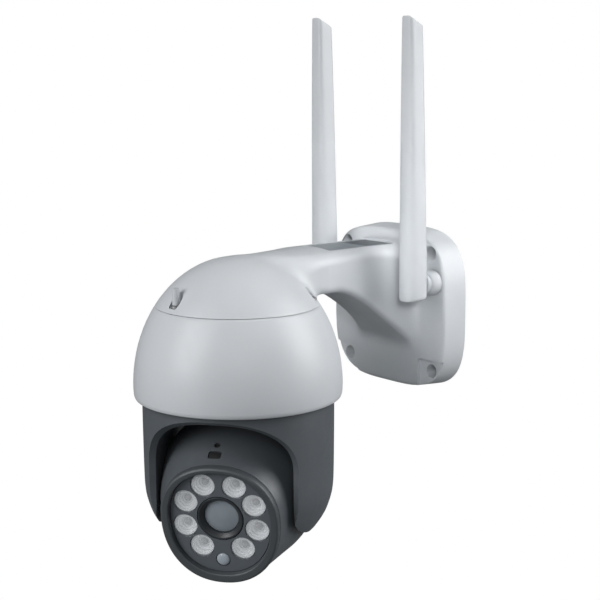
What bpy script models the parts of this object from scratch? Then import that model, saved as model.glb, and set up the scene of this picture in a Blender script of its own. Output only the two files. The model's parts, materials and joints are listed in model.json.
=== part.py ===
"""Wall-mounted pan and tilt camera. Metres, +Z up. The origin is the middle of the wall face, the wall is at +Y."""

from math import acos, atan2, cos, hypot, pi, radians, sin, sqrt, tan

import bmesh
import bpy

# Frames
DOME_AXIS_Y = -0.120
RIM_Z = -0.0348
PAN_AT_REST = radians(37.3)
TILT_AT_REST = radians(10.7)
TILT_AXIS_Z = -0.0483
GAP = 0.0003

# Dome, heights measured from its rim
DOME_RADIUS = 0.0540
DOME_MIDDLE_Z = 0.0060
DOME_HALF_HEIGHT = 0.0663
SEAM_Z = 0.0473
WALL = 0.0025
SCREW_CIRCLE = 0.0380
SCREW_ANGLES = [radians(a) for a in (-90, 47, 133)]
POCKET_FLOOR_Z = 0.0497

# Wall base
BASE_HALF_X = 0.0456
BASE_HALF_Z = 0.0442
BASE_DEPTH = 0.0152
BASE_POWER = 3.6
HOLE_X = 0.0335
HOLE_Z = 0.0325
HOLE_RADIUS = 0.0024
COUNTERBORE_RADIUS = 0.0038
RECESS_DEPTH = 0.0039
GROMMET_AT = (0, -0.0200)

# Arm, stations measured from the wall
ARM_TOP = 0.0377
ARM_CAMBER = 5.5
ARM_WAIST = 0.0176
ARM_BOTTOM = 0.0151
ARCH_STARTS = 0.0680
LOW_ROUND = 0.0040
LABEL_FROM_WALL = (0.0220, 0.0690)
LABEL_HALF_WIDTH = 0.0128
LABEL_Z = 0.0362

# Antennas
ANTENNA_X = 0.0360
ANTENNA_FRONT = 0.0370
ANTENNA_HINGE_Z = 0.0172
ANTENNA_FOOT_Z = 0.0092
ANTENNA_TIP_Z = 0.1578

# Yoke, heights from the rim
YOKE_RADIUS = 0.0496
YOKE_TOP_Z = 0.0030
YOKE_GAP_HALF = 0.0360
ARCH_SPRING_Z = -0.0320
ARCH_POWER = 2.4
LINER_THICKNESS = 0.0016

# Head, measured from the tilt axis
HEAD_RADIUS = 0.0420
HEAD_HALF_WIDTH = 0.0350
BEZEL_BACK = 0.0362
BEZEL_FRONT = 0.0400
PLATE_FRONT = 0.0369
FACE_HALF_WIDTH = 0.0307
FACE_TOP = 0.0293
FACE_BOTTOM = 0.0356
PLATE_HALF_WIDTH = 0.0259
PLATE_TOP = 0.0257
PLATE_BOTTOM = 0.0302
LED_CIRCLE = 0.0195
LED_RADIUS = 0.0061
LED_ANGLES = [radians(a) for a in (24.4, 65.2, 106.0, 146.8)]
LENS_RADIUS = 0.0088
SENSOR_V = -0.0234
SLOT_U = -0.0026
SLOT_V = 0.0319
SLOT_FORWARD = 0.0303

# Gears
MODULE = 0.0008
PRESSURE_ANGLE = radians(20)
BACKLASH = 0.00022
PAN_TEETH = 60
TILT_TEETH = 26
PINION_TEETH = 16
PAN_MOTOR_ANGLE = radians(90)
TILT_MOTOR_ANGLE = radians(-45)

MATERIALS = {
    "shell_white": ((0.62, 0.64, 0.66), 0.38, 0.0),
    "shell_grey": ((0.075, 0.082, 0.092), 0.36, 0.0),
    "panel_grey": ((0.050, 0.055, 0.062), 0.25, 0.0),
    "lens_glass": ((0.35, 0.38, 0.41), 0.08, 0.0),
    "led_clear": ((0.70, 0.72, 0.74), 0.10, 0.0),
    "rubber_black": ((0.02, 0.02, 0.02), 0.70, 0.0),
    "steel": ((0.55, 0.55, 0.56), 0.30, 1.0),
    "board_green": ((0.02, 0.16, 0.07), 0.50, 0.0),
    "acetal": ((0.80, 0.80, 0.77), 0.45, 0.0),
    "label_grey": ((0.33, 0.35, 0.37), 0.40, 0.0),
}

parts = None
cutters = None


def clear_scene():
    for obj in list(bpy.data.objects):
        bpy.data.objects.remove(obj, do_unlink=True)


def new_collection(name):
    collection = bpy.data.collections.new(name)
    bpy.context.scene.collection.children.link(collection)
    return collection


def material(name):
    made = bpy.data.materials.get(name)
    if made:
        return made
    colour, roughness, metallic = MATERIALS[name]
    made = bpy.data.materials.new(name)
    made.use_nodes = True
    shader = made.node_tree.nodes["Principled BSDF"]
    shader.inputs["Base Color"].default_value = (*colour, 1)
    shader.inputs["Roughness"].default_value = roughness
    shader.inputs["Metallic"].default_value = metallic
    made.diffuse_color = (*colour, 1)
    return made


def empty(name, parent=None, location=(0, 0, 0), rotation=(0, 0, 0)):
    made = bpy.data.objects.new(name, None)
    made.parent = parent
    made.location = location
    made.rotation_euler = rotation
    made.empty_display_size = 0.02
    parts.objects.link(made)
    return made


def place(name, data, finish, frame, location=(0, 0, 0), rotation=(0, 0, 0)):
    """A part when finish names a material, or else a cutter."""
    made = bpy.data.objects.new(name, data)
    made.parent = frame
    made.location = location
    made.rotation_euler = rotation
    if finish:
        data.materials.append(material(finish))
        parts.objects.link(made)
    else:
        made.hide_render = True
        made.display_type = "WIRE"
        cutters.objects.link(made)
    return made


def smooth(obj, degrees=35):
    obj.data.shade_smooth()
    obj.data.set_sharp_from_angle(angle=radians(degrees))


def turned(name, profile, steps, finish, frame, closed=True, **where):
    """A profile of (radius, height), down its outer side, turned about the frame's Z."""
    count = len(profile)
    edges = [(k, (k + 1) % count) for k in range(count if closed else count - 1)]
    mesh = bpy.data.meshes.new(name)
    mesh.from_pydata([(r, 0, z) for r, z in profile], edges, [])
    obj = place(name, mesh, finish, frame, **where)
    screw = obj.modifiers.new("turn", "SCREW")
    screw.axis = "Z"
    screw.angle = 2 * pi
    screw.steps = screw.render_steps = steps
    screw.use_merge_vertices = True
    screw.merge_threshold = 1e-5
    screw.use_smooth_shade = True
    return obj


def ring(name, inner, outer, low, high, steps, finish, frame, **where):
    profile = [(outer, high), (outer, low), (inner, low), (inner, high)]
    return turned(name, profile, steps, finish, frame, **where)


def rod(name, radius, low, high, steps, finish, frame, **where):
    bm = bmesh.new()
    bmesh.ops.create_cone(
        bm, cap_ends=True, segments=steps, radius1=radius, radius2=radius, depth=high - low
    )
    bmesh.ops.translate(bm, verts=bm.verts, vec=(0, 0, (low + high) / 2))
    return from_bmesh(name, bm, finish, frame, **where)


def box(name, low, high, finish, frame, **where):
    bm = bmesh.new()
    bmesh.ops.create_cube(bm, size=1)
    size = [b - a for a, b in zip(low, high)]
    middle = [(a + b) / 2 for a, b in zip(low, high)]
    bmesh.ops.scale(bm, verts=bm.verts, vec=size)
    bmesh.ops.translate(bm, verts=bm.verts, vec=middle)
    return from_bmesh(name, bm, finish, frame, **where)


def from_bmesh(name, bm, finish, frame, **where):
    mesh = bpy.data.meshes.new(name)
    bmesh.ops.recalc_face_normals(bm, faces=bm.faces)
    bm.to_mesh(mesh)
    bm.free()
    return place(name, mesh, finish, frame, **where)


def loft(name, rings, finish, frame, looped=False, **where):
    """A skin over rings of equal point counts, capped at both ends, or closed on itself when looped."""
    bm = bmesh.new()
    rows = [[bm.verts.new(p) for p in one] for one in rings]
    pairs = list(zip(rows, rows[1:]))
    if looped:
        pairs.append((rows[-1], rows[0]))
    else:
        bm.faces.new(rows[0])
        bm.faces.new(rows[-1])
    for first, second in pairs:
        for k in range(len(first)):
            after = (k + 1) % len(first)
            bm.faces.new((first[k], first[after], second[after], second[k]))
    return from_bmesh(name, bm, finish, frame, **where)


def flat(name, outlines, thickness, finish, frame, **where):
    """A flat outline with holes, its underside at the frame's z = 0 unless located elsewhere."""
    curve = bpy.data.curves.new(name, "CURVE")
    curve.dimensions = "2D"
    curve.fill_mode = "BOTH"
    curve.extrude = thickness / 2
    for outline in outlines:
        spline = curve.splines.new("POLY")
        spline.points.add(len(outline) - 1)
        for point, (x, y) in zip(spline.points, outline):
            point.co = (x, y, 0, 1)
        spline.use_cyclic_u = True
    return place(name, curve, finish, frame, **where)


def circle(radius, steps, centre=(0, 0)):
    return [
        (centre[0] + radius * cos(2 * pi * k / steps), centre[1] + radius * sin(2 * pi * k / steps))
        for k in range(steps)
    ]


def superellipse(half_x, half_y, power, steps):
    points = []
    for k in range(steps):
        angle = 2 * pi * k / steps
        c = cos(angle)
        s = sin(angle)
        scale = (abs(c / half_x) ** power + abs(s / half_y) ** power) ** (-1 / power)
        points.append((scale * c, scale * s))
    return points


def cut(obj, cutter, operation="DIFFERENCE"):
    boolean = obj.modifiers.new(cutter.name, "BOOLEAN")
    boolean.operation = operation
    boolean.object = cutter
    boolean.solver = "EXACT"


def screw_part(name, head_radius, head_height, shank_radius, shank_length, frame, **where):
    """A pan-head screw, its head's underside at z = 0 and its shank pointing to -Z."""
    profile = [
        (0, head_height),
        (0.55 * head_radius, 0.92 * head_height),
        (0.9 * head_radius, 0.5 * head_height),
        (head_radius, 0),
        (shank_radius, 0),
        (shank_radius, -shank_length + shank_radius),
        (0, -shank_length),
    ]
    return turned(name, profile, 10, "steel", frame, closed=False, **where)


def dome_profile(top, low, count, inset=0.0):
    """Points (radius, z) down the dome's side, from the crown when top is None."""
    half = DOME_HALF_HEIGHT - inset
    ends = []
    for z in (top, low):
        level = 1.0 if z is None else (z - DOME_MIDDLE_Z) / half
        ends.append(atan2(level, sqrt(1 - level * level)))
    angles = [ends[0] + (ends[1] - ends[0]) * k / (count - 1) for k in range(count)]
    points = [((DOME_RADIUS - inset) * cos(a), DOME_MIDDLE_Z + half * sin(a)) for a in angles]
    if top is None:
        points[0] = (0, points[0][1])
    return points


def on_circle(radius, angle, z=0.0):
    return (radius * cos(angle), radius * sin(angle), z)


# Bracket: the dome's cap, the arm and the wall base in one moulding


def eased(value, low, high):
    part = min(1.0, max(0.0, (value - low) / (high - low)))
    return part * part * (3 - 2 * part)


def arm_section(from_wall, inset):
    """One ring across the arm, (x, z) from a rounded box with a cambered top that sinks into the dome."""
    sink = eased(from_wall, 0.080, 0.112)
    dive = eased(from_wall, 0.096, 0.116)
    camber = ARM_CAMBER + 4.5 * sink
    top = ARM_TOP - 0.0022 * dive - inset
    bottom = ARM_BOTTOM - 3.206 * max(0.0, ARCH_STARTS - from_wall) ** 1.54 + inset
    waist = ARM_WAIST + 0.0030 * min(1.0, max(0.0, (from_wall - 0.036) / 0.040))
    flare = max(0.0, 0.034 - from_wall) / 0.020
    half = waist + 0.0062 * flare**1.8 - inset
    top_round = max(0.001, 0.0050 + 0.0080 * sink - inset)
    low_round = max(0.001, LOW_ROUND - inset)
    corners = [
        (half - top_round, top - top_round, top_round, 0),
        (-half + top_round, top - top_round, top_round, 1),
        (-half + low_round, bottom + low_round, low_round, 2),
        (half - low_round, bottom + low_round, low_round, 3),
    ]
    points = []
    for x, z, radius, quarter in corners:
        for k in range(3):
            angle = pi / 2 * (quarter + k / 2)
            points.append((x + radius * cos(angle), z + radius * sin(angle)))
        if quarter == 0:
            points.append((0.0, top))
    middle = (top + bottom) / 2
    return [(x, -from_wall, z - (camber * x * x if z > middle else 0.0)) for x, z in points]


def base_rings(depths):
    rings = []
    for depth, draw_in in depths:
        outline = superellipse(BASE_HALF_X - draw_in, BASE_HALF_Z - draw_in, BASE_POWER, 36)
        rings.append([(x, y, depth) for x, y in outline])
    return rings


def corner_points():
    return [(sx * HOLE_X, sz * HOLE_Z) for sx in (-1, 1) for sz in (-1, 1)]


def bosses(name, low, dome_frame):
    """Three posts round the dome's axis, as one cutter."""
    bm = bmesh.new()
    for angle in SCREW_ANGLES:
        made = bmesh.ops.create_cone(
            bm, cap_ends=True, segments=12, radius1=0.0054, radius2=0.0054, depth=0.06
        )
        centre = on_circle(SCREW_CIRCLE, angle, low + 0.03)
        bmesh.ops.translate(bm, verts=made["verts"], vec=centre)
    return from_bmesh(name, bm, None, dome_frame)


def upright_holes(name, radius, low, high, dome_frame):
    bm = bmesh.new()
    for angle in SCREW_ANGLES:
        made = bmesh.ops.create_cone(
            bm, cap_ends=True, segments=12, radius1=radius, radius2=radius, depth=high - low
        )
        centre = on_circle(SCREW_CIRCLE, angle, (low + high) / 2)
        bmesh.ops.translate(bm, verts=made["verts"], vec=centre)
    return from_bmesh(name, bm, None, dome_frame)


def make_bracket(wall_frame, dome_frame):
    stations = [0.010, 0.0157, 0.019, 0.025, 0.034, 0.046, 0.056, 0.064, 0.078, 0.089, 0.098, 0.105, 0.115]
    shell = loft("bracket_shell", [arm_section(s, 0) for s in stations], "shell_white", None)

    cap = turned(
        "cap_outer", dome_profile(None, SEAM_Z + GAP, 7) + [(0, SEAM_Z + GAP)], 36, None,
        dome_frame, closed=False,
    )
    base = loft(
        "base_outer",
        base_rings([(0, 0.0), (0.0130, 0.0010), (0.0144, 0.0014), (BASE_DEPTH, 0.0024)]),
        None, wall_frame,
    )
    cut(shell, cap, "UNION")
    cut(shell, base, "UNION")

    cap_hollow = turned(
        "cap_hollow", dome_profile(None, 0.036, 5, WALL) + [(0, 0.036)], 36, None, dome_frame,
        closed=False,
    )
    cut(cap_hollow, bosses("cap_bosses", 0.030, dome_frame))
    inner = [0.008, 0.020, 0.034, 0.050, 0.064, 0.086]
    arm_hollow = loft("arm_hollow", [arm_section(s, WALL) for s in inner], None, None)
    plate_recess = slab("plate_recess", plate_outline(GAP), -0.002, RECESS_DEPTH, wall_frame)
    base_hollow = slab("base_hollow", hollow_outline(), -0.002, 0.0124, wall_frame)
    for hollow in (cap_hollow, arm_hollow, plate_recess, base_hollow):
        cut(shell, hollow)

    stepped = [
        (0, 0.020), (COUNTERBORE_RADIUS, 0.020), (COUNTERBORE_RADIUS, 0.0060), (HOLE_RADIUS, 0.0058),
        (HOLE_RADIUS, -0.001), (0, -0.001),
    ]
    for number, (x, z) in enumerate(corner_points(), 1):
        hole = turned(
            f"wall_screw_hole_{number}", stepped, 14, None, wall_frame, closed=False, location=(x, z, 0)
        )
        cut(shell, hole)
    for number, (x, z) in enumerate(plate_screw_points(), 1):
        name = f"plate_screw_hole_{number}"
        cut(shell, rod(name, 0.0016, 0.002, 0.0100, 12, None, wall_frame, location=(x, z, 0)))
    for side in (-1, 1):
        pocket = box(
            f"corner_pocket_{side}", (0.0245 if side > 0 else -0.060, -0.060, 0.0132),
            (0.060 if side > 0 else -0.0245, -0.0262, 0.030), None, wall_frame,
        )
        cut(shell, pocket)
        bore = rod(
            f"antenna_bore_{side}", 0.0050, 0.004, 0.020, 20, None, wall_frame,
            location=(side * ANTENNA_X, ANTENNA_HINGE_Z, 0),
        )
        cut(shell, bore)
    recess = box(
        "label_recess", (-LABEL_HALF_WIDTH, -LABEL_FROM_WALL[1], LABEL_Z - 0.0006),
        (LABEL_HALF_WIDTH, -LABEL_FROM_WALL[0], LABEL_Z + 0.010), None, None,
    )
    cut(shell, recess)
    cut(shell, upright_holes("cap_screw_pockets", 0.0036, POCKET_FLOOR_Z, 0.075, dome_frame))
    cut(shell, upright_holes("cap_screw_holes", 0.0018, 0.040, 0.055, dome_frame))
    box(
        "data_plate", (-LABEL_HALF_WIDTH + GAP, -LABEL_FROM_WALL[1] + GAP, LABEL_Z - GAP),
        (LABEL_HALF_WIDTH - GAP, -LABEL_FROM_WALL[0] - GAP, LABEL_Z + GAP), "label_grey", None,
    )
    smooth(shell)


def plate_outline(grow=0.0):
    return superellipse(0.0418 + grow, 0.0400 + grow, 2.1, 32)


def hollow_outline():
    return superellipse(0.0365, 0.0345, 2, 28)


def plate_screw_points():
    return [(sx * 0.0116, sz * 0.0358) for sx in (-1, 1) for sz in (-1, 1)]


def slab(name, outline, low, high, frame, finish=None):
    return loft(name, [[(x, y, z) for x, y in outline] for z in (low, high)], finish, frame)


def make_wall_side(wall_frame):
    """What closes the base against the wall."""
    plate = slab("base_back_plate", plate_outline(), 0.0, 0.0024, wall_frame, "shell_white")
    hole = rod("grommet_hole", 0.0068, -0.002, 0.006, 24, None, wall_frame, location=(*GROMMET_AT, 0))
    cut(plate, hole)
    sink = [(0, 0.0050), (0.0016, 0.0050), (0.0016, 0.0013), (0.0032, -0.0003), (0, -0.0003)]
    screw = [(0, 0.0092), (0.0013, 0.0080), (0.0013, 0.0012), (0.0025, 0.0002), (0, 0.0002)]
    for number, (x, z) in enumerate(plate_screw_points(), 1):
        spot = (x, z, 0)
        cut(plate, turned(f"countersink_{number}", sink, 16, None, wall_frame, closed=False, location=spot))
        turned(f"plate_screw_{number}", screw, 10, "steel", wall_frame, closed=False, location=spot)
    small_holes = [circle(0.0016, 12, point) for point in plate_screw_points()]
    flat(
        "base_gasket", [plate_outline(), hollow_outline()] + small_holes, 0.0009, "rubber_black", wall_frame,
        location=(0, 0, 0.0032),
    )
    grommet = [
        (0.0086, 0.0046), (0.0086, 0.0027), (0.0065, 0.0027), (0.0065, 0.0002), (0.0040, 0.0002),
        (0.0040, 0.0046),
    ]
    turned("cable_grommet", grommet, 24, "rubber_black", wall_frame, location=(*GROMMET_AT, 0))


def antenna_ring(z, half_x, half_y, power, lean=0.0):
    """A level ring of the antenna at height z above its foot, its front in one plane; lean lowers the wall side."""
    points = []
    for x, y in superellipse(half_x, half_y, power, 16):
        level = z - lean * (y / half_y + 1) / 2 + ANTENNA_FOOT_Z - ANTENNA_HINGE_Z
        points.append((x, level, ANTENNA_FRONT - half_y - y))
    return points


def make_antenna(side, name, wall_frame):
    hinge = empty(f"{name}_hinge", wall_frame, (side * ANTENNA_X, ANTENNA_HINGE_Z, 0))
    length = ANTENNA_TIP_Z - ANTENNA_FOOT_Z
    rings = [
        antenna_ring(0.0, 0.0047, 0.0047, 2.6),
        antenna_ring(0.0007, 0.0060, 0.0060, 2.6),
        antenna_ring(0.0024, 0.0067, 0.0067, 2.6),
        antenna_ring(0.0200, 0.0065, 0.0066, 2.8),
        antenna_ring(0.0500, 0.0058, 0.0061, 3.2),
        antenna_ring(0.0950, 0.0049, 0.0054, 4.5),
        antenna_ring(length - 0.0012, 0.0037, 0.0046, 6.0, 0.0048),
        antenna_ring(length, 0.0030, 0.0039, 6.0, 0.0044),
    ]
    smooth(loft(name, rings, "shell_white", hinge), 50)
    knuckle = [
        (0, 0.0233), (0.0048, 0.0233), (0.0052, 0.0229), (0.0052, 0.0217), (0.0043, 0.0214), (0.0043, 0.0207),
        (0.0054, 0.0204), (0.0063, 0.0192), (0.0068, 0.0176), (0.0069, 0.0158), (0.0066, 0.0155),
        (0.0030, 0.0155), (0.0030, 0.0100), (0, 0.0100),
    ]
    turned(f"{name}_knuckle", knuckle, 14, "shell_white", hinge, closed=False)
    bush = [(0.0047, 0.0149), (0.0047, 0.0086), (0.0032, 0.0086), (0.0032, 0.0149)]
    place = (side * ANTENNA_X, ANTENNA_HINGE_Z, 0)
    turned(f"{name}_bush", bush, 16, "acetal", wall_frame, location=place)


# Dome interior


def make_skirt(dome_frame):
    outer = dome_profile(SEAM_Z, DOME_MIDDLE_Z, 6)
    lip = [(0.0538, 0.0020), (0.0532, 0.0004), (0.0522, 0.0), (0, 0.0)]
    skirt = turned("dome_skirt", [(0, SEAM_Z)] + outer + lip, 40, "shell_white", dome_frame, closed=False)
    hollow_side = dome_profile(0.052, 0.008, 6, WALL)
    hollow = turned(
        "skirt_hollow",
        [(0, 0.052)] + hollow_side + [(0.0514, 0.0040), (0.0506, 0.0012), (0.0506, -0.002), (0, -0.002)],
        40, None, dome_frame, closed=False,
    )
    cut(hollow, bosses("skirt_bosses", 0.0170, dome_frame))
    cut(skirt, hollow)
    cut(skirt, upright_holes("skirt_screw_holes", 0.0018, 0.010, 0.060, dome_frame))


def make_dome_inside(dome_frame):
    motor_at = on_circle((PAN_TEETH + PINION_TEETH) * MODULE / 2, PAN_MOTOR_ANGLE)[:2]
    holes = [circle(0.0097, 28), circle(0.0032, 16, motor_at)]
    holes += [circle(0.0018, 12, on_circle(SCREW_CIRCLE, angle)[:2]) for angle in SCREW_ANGLES]
    flat(
        "pan_chassis", [circle(0.0493, 28)] + holes, 0.0024, "shell_white", dome_frame, location=(0, 0, 0.0154),
    )
    bush = [
        (0.0112, 0.0181), (0.0112, 0.0169), (0.0094, 0.0169), (0.0094, 0.0128), (0.0082, 0.0128), (0.0082, 0.0181),
    ]
    turned("pan_bush", bush, 24, "acetal", dome_frame)
    motor = [
        (0, 0.0310), (0.0110, 0.0310), (0.0115, 0.0304), (0.0115, 0.0169), (0.0030, 0.0169), (0.0030, 0.0130),
        (0.0010, 0.0130), (0.0010, 0.0040), (0, 0.0040),
    ]
    turned("pan_motor", motor, 20, "steel", dome_frame, closed=False, location=(*motor_at, 0))
    flat("main_board", [circle(0.0312, 28)], 0.0016, "board_green", dome_frame, location=(0, 0, 0.0385))
    box("wifi_module", (-0.008, -0.022, 0.0396), (0.008, 0.002, 0.0420), "steel", dome_frame)
    for number, angle in enumerate(SCREW_ANGLES, 1):
        screw_part(
            f"cap_screw_{number}", 0.0028, 0.0018, 0.0014, 0.014, dome_frame,
            location=on_circle(SCREW_CIRCLE, angle, POCKET_FLOOR_Z + GAP),
        )
        screw_part(
            f"chassis_screw_{number}", 0.0028, 0.0016, 0.0014, 0.011, dome_frame,
            location=on_circle(SCREW_CIRCLE, angle, 0.0142 - GAP), rotation=(pi, 0, 0),
        )


# Gears


def gear_outline(teeth, bore, phase, bore_steps=20):
    """A gear's outline with a tooth at the phase angle, and its bore. Straight flanks join involute points."""
    pitch = teeth * MODULE / 2
    base = pitch * cos(PRESSURE_ANGLE)
    root = pitch - 1.2 * MODULE
    tip = pitch + 0.85 * MODULE
    half_at_pitch = pi / (2 * teeth) - BACKLASH / (2 * pitch)
    at_pitch = tan(PRESSURE_ANGLE) - PRESSURE_ANGLE
    at_tip = tan(acos(base / tip)) - acos(base / tip)
    foot = half_at_pitch + at_pitch
    crest = foot - at_tip
    points = []
    for tooth in range(teeth):
        middle = phase + 2 * pi * tooth / teeth
        for radius, angle in ((root, -foot), (tip, -crest), (tip, crest), (root, foot)):
            points.append((radius * cos(middle + angle), radius * sin(middle + angle)))
    return [points, circle(bore, bore_steps)]


# Yoke


def arch_outline(half_width, top, flare, low, count):
    """Half an arch in (u, z) from its crown down the +u side, mirrored to a closed outline."""
    side = []
    rise = top - ARCH_SPRING_Z
    for k in range(count):
        angle = pi / 2 * (1 - k / (count - 1))
        scale = (cos(angle) ** ARCH_POWER + sin(angle) ** ARCH_POWER) ** (-1 / ARCH_POWER)
        side.append((half_width * scale * cos(angle), ARCH_SPRING_Z + rise * scale * sin(angle)))
    side[0] = (0.0, top)
    for k in range(1, 4):
        z = ARCH_SPRING_Z + (low - ARCH_SPRING_Z) * k / 3
        side.append((half_width + flare * (k / 3) ** 2, z))
    return side + [(-u, z) for u, z in reversed(side[1:])]


def liner_outline(grow):
    """The cover of an arm's inner side, as (height, along) from the tilt axis."""
    outline = superellipse(0.0208 + grow, 0.0248 + grow, 3.0, 28)
    return [(x + 0.0042, y) for x, y in outline]


def lip_cutter(front, pan_frame):
    """Bevels the arch's edge into a lip: its outline widens outwards across the wall."""
    inner = arch_outline(YOKE_GAP_HALF, -0.0046, 0.0, -0.080, 12)
    outer = arch_outline(0.0392, -0.0024, 0.0030, -0.080, 12)
    rings = []
    inner_depth = [0.0460 * sqrt(max(0.0, 1 - (u / 0.0460) ** 2)) for u, z in inner]
    outer_depth = [0.0497 * sqrt(max(0.0, 1 - (u / 0.0497) ** 2)) for u, z in outer]
    rings.append([(u, -0.010 * front, z) for u, z in inner])
    rings.append([(u, -d * front, z) for (u, z), d in zip(inner, inner_depth)])
    rings.append([(u, -d * front, z) for (u, z), d in zip(outer, outer_depth)])
    rings.append([(1.03 * u, -0.062 * front, z + 0.0015) for u, z in outer])
    return loft(f"lip_cutter_{front}", rings, None, pan_frame)


def make_yoke(pan_frame):
    profile = [
        (0, YOKE_TOP_Z), (0.0491, YOKE_TOP_Z), (YOKE_RADIUS, YOKE_TOP_Z - 0.0005), (0.0496, -0.012),
        (0.0494, -0.035), (0.0492, -0.045), (0.0486, -0.0505), (0.0474, -0.0550), (0.0458, -0.0595),
        (0.0437, -0.0633), (0.0412, -0.0664), (0.0396, -0.0684), (0.0384, -0.0692), (0, -0.0692),
    ]
    yoke = turned("yoke_shell", profile, 44, "shell_grey", pan_frame, closed=False)
    inner = arch_outline(YOKE_GAP_HALF, -0.0046, 0.0, -0.080, 12)
    gap = loft("head_gap", [[(u, y, z) for u, z in inner] for y in (-0.060, 0.060)], None, pan_frame)
    cut(yoke, gap)
    for front in (1, -1):
        cut(yoke, lip_cutter(front, pan_frame))
    well = ring("gear_well", 0.0170, 0.0466, -0.0016, 0.0060, 28, None, pan_frame)
    cut(yoke, well)
    cut(yoke, rod("yoke_cable_hole", 0.0056, -0.010, 0.010, 20, None, pan_frame))
    arm_profile = [
        (0, -0.0100), (0.0470, -0.0100), (0.0468, -0.045), (0.0452, -0.0545), (0.0430, -0.0600),
        (0.0400, -0.0640),
        (0, -0.0640),
    ]
    for side, label in ((1, "right"), (-1, "left")):
        hollow = turned(f"arm_hollow_{label}", arm_profile, 24, None, pan_frame, closed=False)
        reach = sorted((side * (YOKE_GAP_HALF - 0.002), side * 0.055))
        keep = box(
            f"arm_side_{label}", (reach[0], -0.0175, -0.0610), (reach[1], 0.0175, -0.0280), None, pan_frame,
        )
        cut(hollow, keep, "INTERSECT")
        cut(yoke, hollow)
        depths = (YOKE_GAP_HALF - 0.002, YOKE_GAP_HALF + LINER_THICKNESS + GAP)
        rings = [[(side * u, y, TILT_AXIS_Z + x) for x, y in liner_outline(0.0)] for u in depths]
        cut(yoke, loft(f"liner_seat_{label}", rings, None, pan_frame))
        flat(
            f"yoke_liner_{label}", [liner_outline(-GAP), circle(0.0097, 20)], LINER_THICKNESS - 0.0001,
            "shell_grey",
            pan_frame, location=(side * (YOKE_GAP_HALF + LINER_THICKNESS / 2 + 0.0001), 0, TILT_AXIS_Z),
            rotation=(0, -pi / 2, 0),
        )


def make_pan_drive(dome_frame, pan_frame):
    """The yoke's gear, hollow shaft and retaining ring."""
    flat(
        "pan_gear", gear_outline(PAN_TEETH, 0.0142, PAN_MOTOR_ANGLE - PAN_AT_REST), 0.0050, "acetal",
        pan_frame,
        location=(0, 0, 0.0058 + GAP),
    )
    distance = (PAN_TEETH + PINION_TEETH) * MODULE / 2
    flat(
        "pan_pinion", gear_outline(PINION_TEETH, 0.0013, PAN_MOTOR_ANGLE + pi + pi / PINION_TEETH, 10),
        0.0042,
        "acetal", dome_frame, location=on_circle(distance, PAN_MOTOR_ANGLE, 0.0060),
    )
    shaft = [
        (0.0080, 0.0210), (0.0080, 0.0198), (0.0072, 0.0198), (0.0072, 0.0184), (0.0080, 0.0184),
        (0.0080, 0.0060),
        (0.0139, 0.0060), (0.0139, 0.0033), (0.0055, 0.0033), (0.0055, 0.0210),
    ]
    turned("pan_shaft", shaft, 20, "acetal", pan_frame)
    ring("pan_retaining_ring", 0.0074, 0.0105, 0.0186, 0.0196, 24, "steel", pan_frame)


# Head


def oval_radius(angle, half_width, top, bottom):
    """A rounded outline's radius at an angle from +u, with its own heights above and below."""
    c = cos(angle)
    s = sin(angle)
    tall = top if s > 0 else bottom
    return (abs(c / half_width) ** 2.2 + abs(s / tall) ** 2.2) ** (-1 / 2.2)


def face_radius(angle, grow=0.0):
    return oval_radius(angle, FACE_HALF_WIDTH + grow, FACE_TOP + grow, FACE_BOTTOM + grow)


def plate_radius(angle, grow=0.0):
    return oval_radius(angle, PLATE_HALF_WIDTH + grow, PLATE_TOP + grow, PLATE_BOTTOM + grow)


def outline_of(radius, grow, steps=32):
    angles = [2 * pi * k / steps for k in range(steps)]
    return [(radius(a, grow) * cos(a), radius(a, grow) * sin(a)) for a in angles]


def head_ring(depth, inset, steps=32):
    """A section of the head at a depth in front of the tilt axis: a ball drawn out to the face outline."""
    radius = HEAD_RADIUS - inset
    points = []
    for k in range(steps):
        angle = 2 * pi * k / steps
        rim = face_radius(angle, -inset)
        reach = hypot(BEZEL_BACK, rim)
        touch = radius * cos(atan2(rim, BEZEL_BACK) + acos(min(1.0, radius / reach)))
        if depth > touch:
            start = sqrt(radius**2 - touch**2)
            out = start + (rim - start) * (depth - touch) / (BEZEL_BACK - touch)
        else:
            out = sqrt(max(0.0, radius**2 - depth**2))
        points.append((out * cos(angle), out * sin(angle), depth))
    return points


def make_head_shell(face_frame):
    ball = [radians(a) for a in (-80, -62, -45, -29, -14, 0)]
    outer = [HEAD_RADIUS * sin(a) for a in ball] + [0.0090, 0.0180, BEZEL_BACK - GAP]
    inner = [(HEAD_RADIUS - 0.0022) * sin(a) for a in ball] + [0.0090, 0.0180, 0.0370]
    shell = loft("head_shell", [head_ring(d, 0) for d in outer], "shell_grey", face_frame)
    hollow = loft("head_hollow", [head_ring(d, 0.0022) for d in inner], None, face_frame)
    for solid, half in ((shell, HEAD_HALF_WIDTH), (hollow, HEAD_HALF_WIDTH - 0.0022)):
        name = f"flat_sides_of_{solid.name}"
        cut(solid, box(name, (-half, -0.060, -0.060), (half, 0.060, 0.060), None, face_frame), "INTERSECT")
    cut(shell, hollow)
    for side, label, radius in ((1, "right", 0.0080), (-1, "left", 0.0094)):
        bore = rod(
            f"hub_bore_{label}", radius, 0.028, 0.040, 24, None, face_frame, rotation=(0, side * pi / 2, 0)
        )
        cut(shell, bore)
    slope = atan2(FACE_TOP - 0.0380, BEZEL_BACK - 0.0180)
    seat = empty("top_seat", face_frame, (SLOT_U, SLOT_V, SLOT_FORWARD), (-pi / 2 - slope, 0, 0))
    cut(shell, box("card_slot", (-0.0034, -0.0024, -0.006), (0.0034, 0.0024, 0.006), None, seat))
    cut(shell, rod("button_hole", 0.0017, -0.006, 0.006, 16, None, seat, location=(0, 0.0062, 0)))
    return seat


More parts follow.
